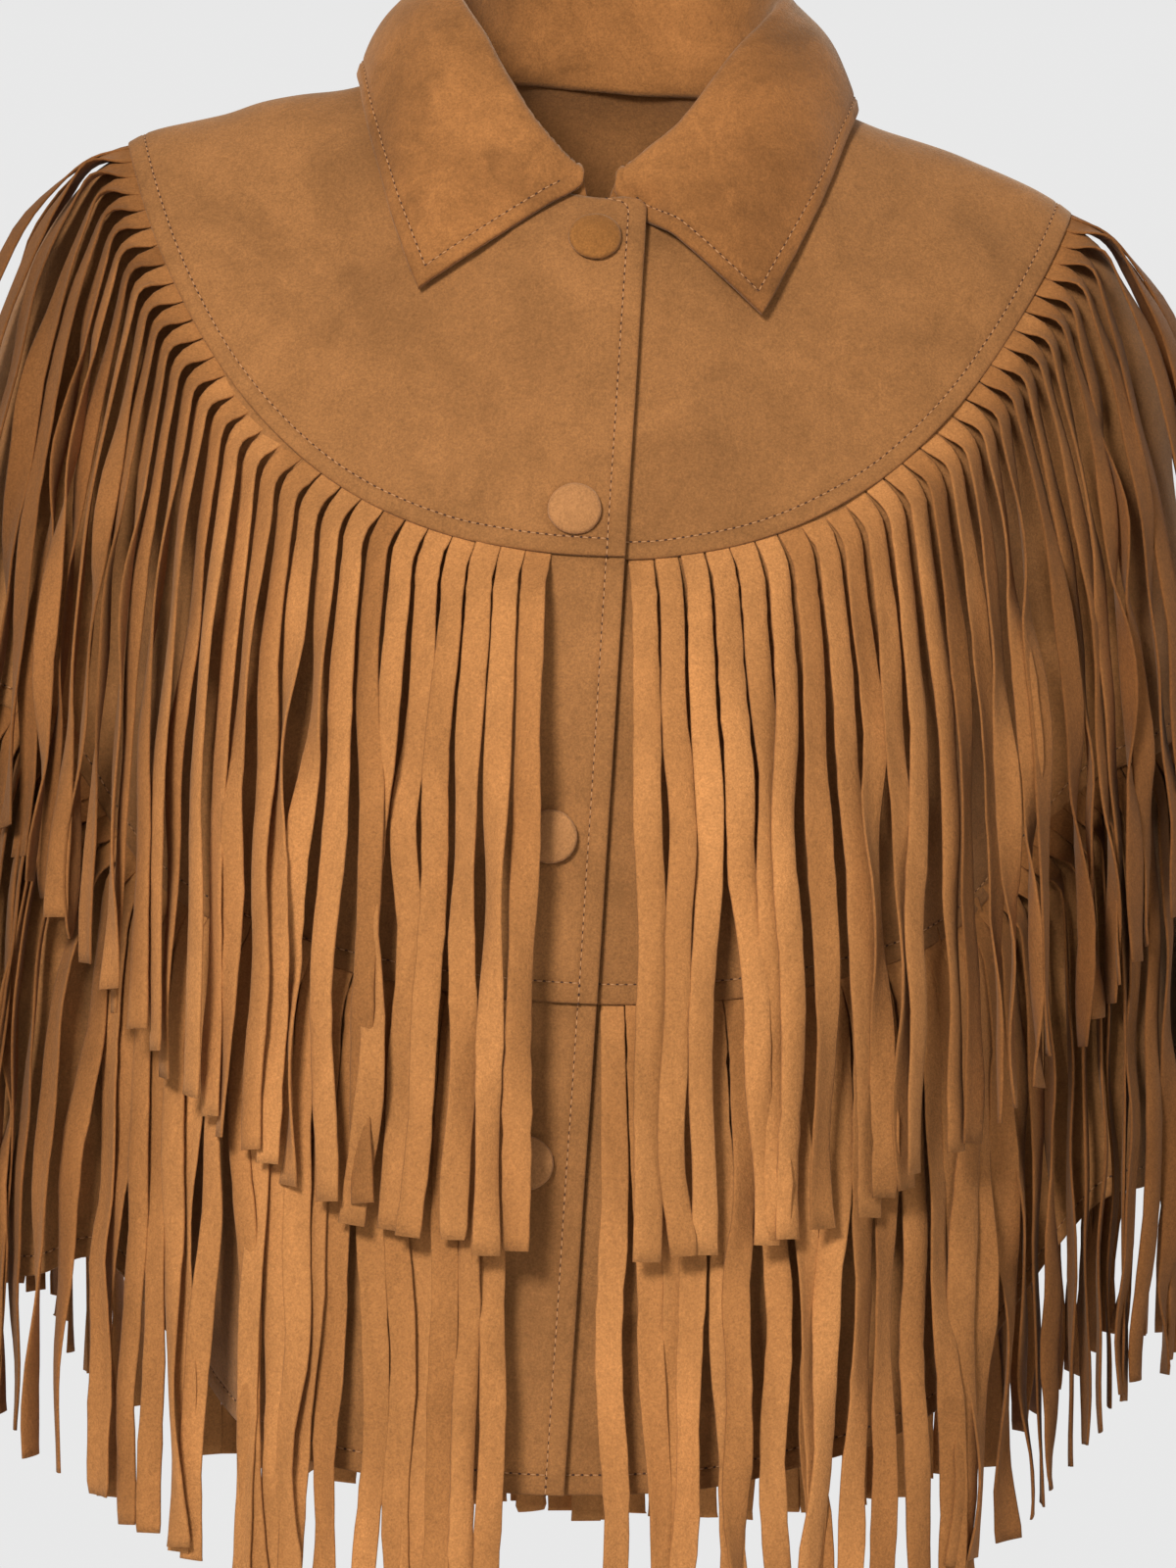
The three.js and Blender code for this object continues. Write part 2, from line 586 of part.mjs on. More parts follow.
const garment = new THREE.Group();
garment.rotation.y = LEAN;
for (const row of PANEL_ROWS) {
  for (const [place, panel] of Object.entries(PANELS)) {
    garment.add(suedeMesh(panelGeometry(panel, row), `${row.name}_${place}`));
  }
}
garment.add(suedeMesh(collarGeometry(), "collar"));
for (const strip of FRINGE_STRIPS) {
  const range = stripRange(strip);
  garment.add(suedeMesh(fringeGeometry(strip.fringe, { ...strip, ...range }), strip.name));
}
BUTTON_HEIGHTS.forEach((height, n) => {
  const button = buttonMesh(height);
  button.name = `button_${n + 1}`;
  garment.add(button);
});

const part = new THREE.Group();
part.add(garment);
export default part;
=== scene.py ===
# A worn fringed suede cape: sewn panels, collar, covered buttons, topstitching and cut fringe,
# on the shapes of the CAD frame.
import math

import bpy
import numpy as np
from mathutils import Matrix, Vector


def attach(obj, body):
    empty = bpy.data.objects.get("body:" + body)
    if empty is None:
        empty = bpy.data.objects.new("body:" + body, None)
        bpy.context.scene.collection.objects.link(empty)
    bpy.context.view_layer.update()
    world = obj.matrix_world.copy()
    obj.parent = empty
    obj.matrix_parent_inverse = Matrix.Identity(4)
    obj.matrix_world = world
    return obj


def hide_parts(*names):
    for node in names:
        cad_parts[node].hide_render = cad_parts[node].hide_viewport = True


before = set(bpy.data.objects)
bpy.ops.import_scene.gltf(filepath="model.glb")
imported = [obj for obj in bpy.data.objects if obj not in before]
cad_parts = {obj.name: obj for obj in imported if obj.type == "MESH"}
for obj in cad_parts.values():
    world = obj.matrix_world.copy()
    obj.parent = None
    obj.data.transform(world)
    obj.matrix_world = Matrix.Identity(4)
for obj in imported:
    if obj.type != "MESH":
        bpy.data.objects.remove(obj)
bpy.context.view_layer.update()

# Lengths are in millimetres and angles in radians here. Pieces are turned and scaled once, when
# they are made.
LEAN = math.radians(4.2)
GRAVITY = np.array([math.sin(LEAN), 0, -math.cos(LEAN)])
DOWN_CAPE = np.array([0.0, 0, -1])
ARM_SIDE = (190, 262)

TIER_STEP = 2.3
SEAM_GAP = 0.4
WALL = 1.3
COLLAR_WALL = 2.2
STRAND_WALL = 1.1
CLOSURE_LIFT = 2.3
CLOSURE_FADE = (30, 48)
PLACKET_EDGE = (19.5, 24.5)
UNDERLAP_EDGE = -22
SHOULDER_SEAM = math.radians(97)
HEM_T = 8

RING_T = np.arange(9.0)
RINGS = {
    "half_width": [66, 105, 152, 197, 228, 250, 264, 272, 276],
    "front": [66, 84, 101, 118, 130, 137, 142, 147, 151],
    "back": [56, 78, 97, 110, 118, 122, 126, 132, 138],
    "z_front": [-8, -40, -98, -157, -205, -262, -334, -431, -528],
    "z_side": [48, 36, 23, 5, -32, -104, -196, -288, -380],
    "z_back": [54, 22, -55, -140, -190, -250, -320, -417, -514],
}
DRAPE_T = np.array([0.0, 2, 3, 4, 5, 6, 7, 8])
DRAPE = {
    "dent": [0, 0, 4, 16, 26, 30, 32, 34],
    "rise": [0, 0, 0, 4, 14, 28, 36, 42],
    "fold": [0, 0, 0, 0.1, 0.3, 0.5, 0.8, 1],
    "valley_right": [188, 188, 188, 188, 187, 180, 160, 140],
    "valley_left": [188, 188, 188, 188, 189, 190, 197, 204],
}
FALL = (1.807, -0.582, -0.225)
VALLEY_WIDTH = 28
VALLEY_BACK_SHARE = 0.35
ARM_RISE = (25, 30)
FOLDS = [
    (27, 7, -7),
    (-29, 7, -7),
    (62, 7, 5),
    (-62, 7, 5),
    (118, 8, 6),
    (-116, 8, 6),
    (146, 8, -7),
    (-148, 8, -7),
    (166, 7, 5),
    (-168, 7, 5),
]


def smoothstep(x, low, high):
    u = np.clip((np.asarray(x, float) - low) / (high - low), 0, 1)
    return u * u * (3 - 2 * u)


def mix(a, b, share):
    return a + (b - a) * share


def along(keys, values, place):
    """A smooth curve through table rows."""
    keys = np.asarray(keys, float)
    values = np.asarray(values, float)
    place = np.asarray(place, float)
    last = len(keys) - 1
    before = np.maximum(np.arange(last + 1) - 1, 0)
    after = np.minimum(np.arange(last + 1) + 1, last)
    slope = (values[after] - values[before]) / (keys[after] - keys[before])
    i = np.clip(np.searchsorted(keys, place) - 1, 0, last - 1)
    span = keys[i + 1] - keys[i]
    u = (place - keys[i]) / span
    straight = mix(values[i], values[i + 1], u * u * (3 - 2 * u))
    return straight + u * (1 - u) * span * ((1 - u) * slope[i] - u * slope[i + 1])


def ring(column, t):
    return along(RING_T, RINGS[column], t)


def drape(column, t):
    return along(DRAPE_T, DRAPE[column], t)


def cape(theta, t, plain=False):
    """The cape's middle surface.

    theta goes round from the centre front to the viewer's right, and t from the neck to the hem.
    """
    theta, t = np.broadcast_arrays(np.asarray(theta, float), np.asarray(t, float))
    s = np.sin(theta)
    c = np.cos(theta)
    is_front = c >= 0
    x = ring("half_width", t) * s
    depth = np.where(is_front, ring("front", t), ring("back", t))
    z_end = np.where(is_front, ring("z_front", t), ring("z_back", t))
    z_side = ring("z_side", t)
    size = np.abs(c)
    level = c * c * (FALL[0] + FALL[1] * size + FALL[2] * c * c)
    y = -depth * c
    z = mix(z_side, z_end, level)
    if plain:
        return np.stack([x, y, z], -1)
    valley = np.where(x < 0, drape("valley_right", t), drape("valley_left", t))
    dent = drape("dent", t) * np.exp(-(((np.abs(x) - valley) / VALLEY_WIDTH) ** 2))
    dent = dent * np.where(is_front, 1, VALLEY_BACK_SHARE)
    y = y + dent * np.sign(c) * smoothstep(size, 0, 0.3)
    z = z + drape("rise", t) * np.exp(-(((np.abs(x) - valley - ARM_RISE[0]) / ARM_RISE[1]) ** 2))
    degrees = (np.degrees(theta) + 540) % 360 - 180
    fold = sum(deep * np.exp(-(((degrees - at) / width) ** 2)) for at, width, deep in FOLDS)
    fold = fold * drape("fold", t)
    return np.stack([x + fold * s, y - fold * c, z], -1)


def unit(v):
    return v / np.linalg.norm(v, axis=-1, keepdims=True)


def dot(a, b):
    return np.sum(a * b, -1)


def place_on(theta, t, plain=False):
    """The surface's point, its two directions and its outward normal."""
    e = 1e-3
    across = (cape(theta + e, t, plain) - cape(theta - e, t, plain)) / (2 * e)
    down = (cape(theta, t + e, plain) - cape(theta, t - e, plain)) / (2 * e)
    return cape(theta, t, plain), across, down, unit(np.cross(down, across))


def theta_at(x, t):
    """The angle at which a ring passes x."""
    return np.arcsin(np.clip(x / ring("half_width", t), -1, 1))


def placket_edge(t):
    return mix(PLACKET_EDGE[0], PLACKET_EDGE[1], np.asarray(t) / HEM_T)


def closure_offset(x, side):
    near = 1 - smoothstep(np.abs(x), *CLOSURE_FADE)
    return -side * CLOSURE_LIFT * near


rng = np.random.default_rng(1463)


class Ripples:
    """Soft unevenness of a hide: a sum of seeded waves through space."""

    def __init__(self, shortest, longest, height, count=14):
        way = unit(rng.normal(size=(count, 3)))
        length = rng.uniform(shortest, longest, count)
        self.waves = way * (2 * math.pi / length)[:, None]
        self.phases = rng.uniform(0, 2 * math.pi, count)
        self.height = height * math.sqrt(2 / count)

    def __call__(self, points):
        return self.height * np.sum(np.sin(points @ self.waves.T + self.phases), -1)


hide_waves = Ripples(45, 150, 0.9)
hide_bumps = Ripples(14, 34, 0.16)

# Materials


def node(tree, kind, inputs=None, **settings):
    made = tree.nodes.new(kind)
    for name, value in settings.items():
        setattr(made, name, value)
    for name, value in (inputs or {}).items():
        if isinstance(value, bpy.types.NodeSocket):
            tree.links.new(value, made.inputs[name])
        else:
            made.inputs[name].default_value = value
    return made


# A colour mix node's sockets go by number, because its other kinds of socket share their names.
MIX_FACTOR, MIX_A, MIX_B, MIX_RESULT = 0, 6, 7, 2


def multiplied(tree, a, b):
    made = tree.nodes.new("ShaderNodeMix")
    made.data_type = "RGBA"
    made.blend_type = "MULTIPLY"
    made.inputs[MIX_FACTOR].default_value = 1
    for index, value in ((MIX_A, a), (MIX_B, b)):
        if isinstance(value, bpy.types.NodeSocket):
            tree.links.new(value, made.inputs[index])
        else:
            made.inputs[index].default_value = value
    return made.outputs[MIX_RESULT]


def ramp(tree, value, stops):
    """Grey levels by value, from (value, level) stops."""
    made = tree.nodes.new("ShaderNodeValToRGB")
    tree.links.new(value, made.inputs[0])
    elements = made.color_ramp.elements
    while len(elements) < len(stops):
        elements.new(0.5)
    for element, (at, level) in zip(elements, stops):
        element.position = at
        element.color = (level, level, level, 1)
    return made.outputs[0]


def noise(tree, place, scale, detail, roughness=0.5, distortion=0.0):
    values = {"Vector": place, "Scale": scale, "Detail": detail}
    values.update({"Roughness": roughness, "Distortion": distortion})
    return node(tree, "ShaderNodeTexNoise", values).outputs["Fac"]


def new_material(name):
    material = bpy.data.materials.new(name)
    material.use_nodes = True
    tree = material.node_tree
    return material, tree, tree.nodes["Principled BSDF"]


NAP_DEPTH = 0.0008
NAP_STRENGTH = 0.5
GRAIN_SHARE = 0.45


def suede(name, colour, patches, streaks=1.0, sheen=0.2):
    """Napped hide: brushed patches and strokes, pores, fine grain and a soft sheen."""
    material, tree, shader = new_material(name)
    place = node(tree, "ShaderNodeTexCoord").outputs["Object"]
    stretching = {"Vector": place, "Scale": (1, 1, streaks)}
    stretched = node(tree, "ShaderNodeMapping", stretching).outputs[0]
    brushed = noise(tree, stretched, 17.0, 5.0, 0.62, 0.8)
    strokes = noise(tree, stretched, 34.0, 6.0, 0.66, 2.2)
    cloudy = noise(tree, stretched, 85.0, 4.0, 0.6)
    pores = noise(tree, place, 520.0, 4.0, 0.75)
    grain = noise(tree, place, 1150.0, 3.0, 0.7)
    shades = [
        (brushed, [(0.32, 1 - 0.3 * patches), (0.66, 1 + 0.2 * patches)]),
        (strokes, [(0.3, 1 - 0.14 * patches), (0.47, 1), (0.6, 1), (0.72, 1 + 0.2 * patches)]),
        (cloudy, [(0.28, 0.95), (0.72, 1.04)]),
        (pores, [(0.3, 0.86), (0.7, 1.1)]),
        (grain, [(0.3, 0.76), (0.7, 1.18)]),
    ]
    tint = (*colour, 1)
    for value, stops in shades:
        tint = multiplied(tree, tint, ramp(tree, value, stops))
    tone = node(tree, "ShaderNodeAttribute", attribute_name="tone").outputs["Color"]
    tree.links.new(multiplied(tree, tint, tone), shader.inputs["Base Color"])
    fine = node(tree, "ShaderNodeMath", {0: grain, 1: GRAIN_SHARE}, operation="MULTIPLY")
    height = node(tree, "ShaderNodeMath", {0: pores, 1: fine.outputs[0]}, operation="ADD")
    relief = {"Height": height.outputs[0], "Strength": NAP_STRENGTH, "Distance": NAP_DEPTH}
    tree.links.new(node(tree, "ShaderNodeBump", relief).outputs[0], shader.inputs["Normal"])
    rough = ramp(tree, brushed, [(0.3, 0.98), (0.7, 0.86)])
    tree.links.new(rough, shader.inputs["Roughness"])
    shader.inputs["Specular IOR Level"].default_value = 0.12
    shader.inputs["Sheen Weight"].default_value = sheen
    shader.inputs["Sheen Roughness"].default_value = 0.45
    shader.inputs["Sheen Tint"].default_value = (1, 0.8, 0.58, 1)
    return material


def thread(name, colour, roughness):
    material, tree, shader = new_material(name)
    place = node(tree, "ShaderNodeTexCoord").outputs["Object"]
    twist = ramp(tree, noise(tree, place, 900.0, 2.0), [(0.3, 0.8), (0.7, 1.15)])
    tree.links.new(multiplied(tree, (*colour, 1), twist), shader.inputs["Base Color"])
    shader.inputs["Roughness"].default_value = roughness
    return material


PANEL_SUEDE = suede("panel_suede_nap", (0.272, 0.115, 0.036), 0.7)
COLLAR_SUEDE = suede("collar_suede_nap", (0.29, 0.116, 0.033), 1.15)
FRINGE_SUEDE = suede("fringe_suede_nap", (0.39, 0.162, 0.049), 0.7, streaks=0.4, sheen=0.06)
BUTTON_SUEDE = suede("button_suede_nap", (0.37, 0.165, 0.058), 0.4)
# Painted shade: the top button's suede is a darker, warmer copy of the other buttons' suede, for
# the shade under the collar.
TOP_BUTTON_PAINTED_SHADE_SUEDE = suede("top_button_painted_shade_nap", (0.24, 0.094, 0.022), 0.4)
THREAD = thread("thread_tan", (0.4, 0.19, 0.07), 0.7)
# Painted shade: the needle holes are near-black marks that stand for the shade inside each hole.
HOLE = thread("needle_holes_painted_shade", (0.06, 0.022, 0.008), 0.95)

# Making pieces

# A tone's powers that dim red, green and blue: darker tones are also warmer, as darker suede is
# and as the painted shade on the arms is.
TONE_POWERS = (1, 1.14, 1.3)


def to_world(points):
    """Points in metres, with the lean that the cape is worn with."""
    x, y, z = np.moveaxis(np.asarray(points, float), -1, 0)
    across = x * math.cos(LEAN) + z * math.sin(LEAN)
    up = z * math.cos(LEAN) - x * math.sin(LEAN)
    return np.stack([across, y, up], -1) / 1000


def make_piece(name, points, faces, materials, tones=None, material_index=None):
    mesh = bpy.data.meshes.new(name)
    mesh.from_pydata(to_world(points).tolist(), [], faces)
    for material in materials:
        mesh.materials.append(material)
    if material_index is not None:
        mesh.polygons.foreach_set("material_index", material_index)
    mesh.polygons.foreach_set("use_smooth", [True] * len(mesh.polygons))
    if tones is not None:
        layer = mesh.color_attributes.new("tone", "FLOAT_COLOR", "POINT")
        tones = np.asarray(tones, float)
        channels = [tones**power for power in TONE_POWERS]
        colours = np.column_stack([*channels, np.ones(len(tones))])
        layer.data.foreach_set("color", colours.ravel())
    mesh.update()
    piece = bpy.data.objects.new(name, mesh)
    bpy.context.scene.collection.objects.link(piece)
    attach(piece, "root")
    return piece


def grid_faces(columns, rows, first=0, flipped=False):
    i, j = np.meshgrid(np.arange(columns), np.arange(rows), indexing="ij")
    a = first + i * (rows + 1) + j
    quads = [a, a + 1, a + rows + 2, a + rows + 1]
    if flipped:
        quads.reverse()
    return np.stack([q.ravel() for q in quads], -1)


def shell_faces(columns, rows):
    """Faces of a closed wall: an outer grid, an inner grid and the four edges between them."""
    count = (columns + 1) * (rows + 1)
    outer = grid_faces(columns, rows)
    inner = grid_faces(columns, rows, count, flipped=True)
    ids = np.arange(count).reshape(columns + 1, rows + 1)
    loop = np.concatenate([ids[:, 0], ids[-1, 1:], ids[-2::-1, -1], ids[0, -2:0:-1]])
    after = np.roll(loop, -1)
    edge = np.stack([loop, after, after + count, loop + count], -1)
    return np.concatenate([outer, inner, edge]).tolist()


def arc(points, axis):
    """Distances run along a grid's columns or rows from its first line."""
    steps = np.linalg.norm(np.diff(points, axis=axis), axis=-1)
    pad = [(1, 0) if k == axis else (0, 0) for k in range(2)]
    return np.pad(np.cumsum(steps, axis), pad)


def flat_size(points):
    """The cut of a sheet: its greatest width and length and its area, in metres."""
    width = arc(points, 0)[-1].max() / 1000
    length = arc(points, 1)[:, -1].max() / 1000
    diagonal_a = points[1:, 1:] - points[:-1, :-1]
    diagonal_b = points[1:, :-1] - points[:-1, 1:]
    area = np.linalg.norm(np.cross(diagonal_a, diagonal_b), axis=-1).sum() / 2e6
    return width, length, area


def band_relief(distance, stitch):
    """A turned edge: a fuller band out to the stitches, which pull a groove into the hide."""
    band = 0.32 * (1 - smoothstep(distance, stitch - 1.2, stitch + 0.2))
    groove = 0.3 * np.exp(-(((distance - stitch) / 0.8) ** 2))
    puff = 0.12 * np.exp(-(((distance - stitch - 2.4) / 1.6) ** 2))
    return band - groove + puff


def rounding(distance):
    """The share of the wall's thickness near a raw edge."""
    return mix(0.45, 1, np.sqrt(np.clip(distance / 0.9, 0, 1)))


def line_across(points, values, wanted):
    """A point in each column whose falling values pass the wanted one."""
    found = []
    for column, value in zip(points, values):
        passes = np.nonzero((value[:-1] > wanted) & (value[1:] <= wanted))[0]
        if len(passes):
            k = passes[-1]
            share = (value[k] - wanted) / (value[k] - value[k + 1])
            found.append(mix(column[k], column[k + 1], share))
    return np.array(found)


STITCH_PITCH = 3.5
THREAD_SIDES = 6
THREAD_REACH = 1.2
THREAD_RINGS = [(-0.925, 0.7), (0, 1), (0.925, 0.7)]
THREAD_HALF = (0.3, 0.24)
THREAD_TOP = 0.16
THREAD_ARCH = 0.26
THREAD_STRAY = 0.09
HOLE_HALF = (0.64, 0.544)
HOLE_RIM, HOLE_TOP, HOLE_BOTTOM = 0.04, 0.12, -0.3
TANGENT_REACH = 0.8


def thread_form():
    """A stitch along x, arched from one needle hole to the next, with z outward."""
    n = THREAD_SIDES
    angles = np.arange(n) * 2 * math.pi / n
    section = [np.zeros(n), THREAD_HALF[0] * np.cos(angles), THREAD_HALF[1] * np.sin(angles)]
    rings = [np.stack(section, -1) * size + np.array([x, 0, 0]) for x, size in THREAD_RINGS]
    points = np.concatenate([[[-THREAD_REACH, 0, 0]], *rings, [[THREAD_REACH, 0, 0]]])
    points[:, 2] += THREAD_TOP - THREAD_ARCH * (points[:, 0] / THREAD_REACH) ** 2
    faces = []
    for k in range(n):
        m = (k + 1) % n
        faces.append([0, 1 + m, 1 + k])
        for r in range(len(THREAD_RINGS) - 1):
            a = 1 + r * n
            faces.append([a + k, a + m, a + n + m, a + n + k])
        faces.append([1 + 2 * n + k, 1 + 2 * n + m, 1 + 3 * n])
    return points, faces


def hole_form():
    """A needle hole: a shallow dome over a pit."""
    n = THREAD_SIDES
    angles = np.arange(n) * 2 * math.pi / n
    rim = [HOLE_HALF[0] * np.cos(angles), HOLE_HALF[1] * np.sin(angles), np.full(n, HOLE_RIM)]
    points = np.concatenate([np.stack(rim, -1), [[0, 0, HOLE_TOP], [0, 0, HOLE_BOTTOM]]])
    faces = []
    for k in range(n):
        m = (k + 1) % n
        faces.append([k, m, n])
        faces.append([m, k, n + 1])
    return points, faces


def stitching(name, lines):
    """A run of stitches and their holes along each line of (points, normals)."""
    forms = [thread_form(), hole_form()]
    points, faces, index = [], [], []
    first = 0
    for path, ways in lines:
        steps = np.linalg.norm(np.diff(path, axis=0), axis=-1)
        run = np.concatenate([[0], np.cumsum(steps)])
        count = int(run[-1] / STITCH_PITCH)
        pitch = run[-1] / count

        def at_run(values, at):
            return np.array([np.interp(at, run, values[:, k]) for k in range(3)])

        thread_places = (np.arange(count) + 0.5) * pitch
        hole_places = np.append(np.arange(count) * pitch, run[-1])
        for kind, places in enumerate((thread_places, hole_places)):
            shape, shape_faces = forms[kind]
            for at in places:
                tangent = at_run(path, at + TANGENT_REACH) - at_run(path, at - TANGENT_REACH)
                tangent = unit(tangent)
                up = at_run(ways, at)
                up = unit(up - tangent * (up @ tangent))
                side = np.cross(up, tangent)
                if kind == 0:
                    tangent = unit(tangent + side * rng.uniform(-THREAD_STRAY, THREAD_STRAY))
                    side = np.cross(up, tangent)
                points.append(at_run(path, at) + shape @ np.stack([tangent, side, up]))
                faces.extend([[first + v for v in face] for face in shape_faces])
                index.extend([kind] * len(shape_faces))
                first += len(shape)
    # The holes take the near-black material of painted shade.
    return make_piece(name, np.concatenate(points), faces, [THREAD, HOLE], None, index)


# Panels: rows from the neck to the hem, columns round the body

# Distances of mesh lines from a turned edge and from the closing edge
EDGE_LINES = np.array([0, 0.3, 0.9, 2, 3.6, 5.2, 6.3, 7.0, 7.6, 8.3, 9.3, 11, 13.5, 17])
PLACKET_LINES = np.array(
    [0, 0.3, 0.9, 2, 3.6, 5.2, 6.2, 6.9, 7.5, 8.2, 9.2, 11, 13.5, 17, 22, 28, 35, 43, 52]
)
PLACKET_STITCH = 7.5
CORNER_RADIUS = 9.0
CORNER_RISE = 1.3
NECK_STEP = 38  # cloth to one step of t at the neck
FRONT_RADIUS = 230
SIDE_RADIUS = 200
PANEL_ROWS = {
    "yoke": {"tier": 0, "top": 0.06, "edge": 3, "rows": 46, "stitch": 7.5},
    "middle": {"tier": 1, "top": 2.86, "edge": 6, "rows": 40, "stitch": 8},
    "lower": {"tier": 2.1, "top": 5.9, "edge": 8, "rows": 40, "stitch": 8},
}
PANEL_SIDES = {"front_right": -1, "front_left": 1, "back": 0}
FRONT_COLUMNS = 125
BACK_COLUMNS = 220
INSIDE_TONE = 0.85
FARTHEST_EDGE = 50.0


def row_heights(row, theta):
    """The panel's mesh lines at these angles: even above, crowded at the turned edge."""
    _, _, down, _ = place_on(theta, np.full_like(theta, row["edge"]))
    per_mm = 1 / np.linalg.norm(down, axis=-1)
    crowded = row["edge"] - EDGE_LINES[::-1][None, :] * per_mm[:, None]
    upper = np.linspace(0, 1, row["rows"], endpoint=False)[None, :]
    even = mix(row["top"], crowded[:, :1], upper)
    return np.concatenate([even, crowded], 1)


def panel_grid(row, side):
    """Angles and heights of the mesh points of one panel."""
    inset = SEAM_GAP / 2 / SIDE_RADIUS
    if side == 0:
        start = SHOULDER_SEAM + inset
        theta = np.linspace(start, 2 * math.pi - start, BACK_COLUMNS + 1)
        t = row_heights(row, theta)
        return np.broadcast_to(theta[:, None], t.shape).copy(), t
    near = len(PLACKET_LINES)
    seam = side * (SHOULDER_SEAM - inset)
    from_closure = side * PLACKET_LINES / FRONT_RADIUS
    rest = np.linspace(from_closure[-1], seam, FRONT_COLUMNS + 1)
    rough = np.concatenate([from_closure[:-1], rest])
    t = row_heights(row, rough)
    edge = placket_edge(t) if side < 0 else np.full_like(t, UNDERLAP_EDGE)
    if side < 0 and row["tier"] == 0:
        below = np.abs(t - row["top"]) * NECK_STEP
        corner = np.clip(CORNER_RADIUS - below, 0, CORNER_RADIUS)
        edge = edge - (CORNER_RADIUS - np.sqrt(CORNER_RADIUS**2 - corner**2))
    theta = np.empty_like(t)
    for k in range(near):
        theta[k] = theta_at(edge[k] + side * PLACKET_LINES[k], t[k])
    for k in range(near, len(rough)):
        part = (k - near + 1) / FRONT_COLUMNS
        start = theta_at(edge[k] + side * PLACKET_LINES[-1], t[k])
        theta[k] = mix(start, seam, part)
    if side < 0:
        return theta[::-1].copy(), t[::-1].copy()
    return theta, t


def edge_tones(nearest, depth, reach, stitch):
    """Tones that darken at a raw edge and a little along its stitches."""
    tones = 1 - depth * np.exp(-(nearest / reach))
    return tones * (1 - 0.1 * np.exp(-(((nearest - stitch) / 0.9) ** 2)))


def panel(name, row, side):
    theta, t = panel_grid(row, side)
    middle, _, _, out = place_on(theta, t)
    offset = -row["tier"] * TIER_STEP + closure_offset(middle[..., 0], side)
    if side < 0:
        corner = smoothstep(middle[..., 0], 2, 14) * (1 - smoothstep(-middle[..., 2], 18, 46))
        offset = offset + CORNER_RISE * corner
    points = middle + out * (offset + hide_waves(middle))[..., None]
    run_down = arc(points, 1)
    to_edge = run_down[:, -1:] - run_down
    relief = band_relief(to_edge, row["stitch"])
    nearest = np.minimum(to_edge, FARTHEST_EDGE)
    run = arc(points, 0)
    if side == 0:
        to_shoulder = np.minimum(run, run[-1:] - run)
    else:
        to_closure = run if side > 0 else run[-1:] - run
        to_shoulder = run[-1:] - run if side > 0 else run
        nearest = np.minimum(nearest, to_closure)
    if side < 0:
        closing = band_relief(to_closure, PLACKET_STITCH)
        relief = np.where(to_closure < to_edge, closing, relief)
    seam_dip = 0.5 * np.exp(-((to_shoulder / 1.1) ** 2))
    half = WALL / 2
    thin = rounding(np.minimum(nearest, to_shoulder + 0.2))
    grow = relief - seam_dip + hide_bumps(middle) * 0.6
    upper = points + out * (grow + half * thin)[..., None]
    lower = points - out * (half * thin)[..., None]
    columns, rows = theta.shape[0] - 1, theta.shape[1] - 1
    tones = edge_tones(nearest, 0.22, 0.7, row["stitch"])
    tones = np.concatenate([tones.ravel(), np.full(tones.size, INSIDE_TONE)])
    both = np.concatenate([upper.reshape(-1, 3), lower.reshape(-1, 3)])
    faces = shell_faces(columns, rows)
    piece = make_piece(f"{name}_panel", both, faces, [PANEL_SUEDE], tones)
    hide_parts(name)
    hem = [line_across(values, to_edge, row["stitch"]) for values in (upper, out)]
    lines = [hem]
    if side < 0:
        turned = [np.swapaxes(values, 0, 1) for values in (upper, out)]
        lines.append([line_across(values, to_closure.T, PLACKET_STITCH) for values in turned])
        keep = len(hem[0]) - 8
        lines[0] = [values[:keep] for values in hem]
    return piece, stitching(f"{name}_stitching", lines), flat_size(points)


# The collar

TURNS = [0, 0.14, 0.3, 0.47, 0.73, 1]
COLLAR = {
    "seam": [4, 22, 48, 80, 130, 180],
    "roll": [5.5, 25, 51, 82, 131, 180],
    "roll_z": [1.5, 24, 62, 84, 96, 99],
    "drop": [3.5, 0, 0, 0, 0, 0],
    "edge": [31.5, 41.5, 56, 80, 130, 180],
    "edge_t": [1.56, 1.33, 1.1, 0.95, 0.95, 1.02],
    "lift": [6, 4.6, 3.8, 3.8, 3.8, 3.8],
}
ROLL = {
    "half_width": 72,
    "front": 68,
    "back": 63,
    "radius": 4.4,
    "front_radius": 2.2,
    "full_at": 0.14,
}
FALL_BULGE = (3, 5)
FALL_KNOTS = (0.2, 0.4, 0.6, 0.8)
# The stand starts inside the yoke: how far below the neck seam, and how deep there and at it
TUCK_T, TUCK_DEPTH, SEAM_DEPTH = 0.16, 2.2, 0.6


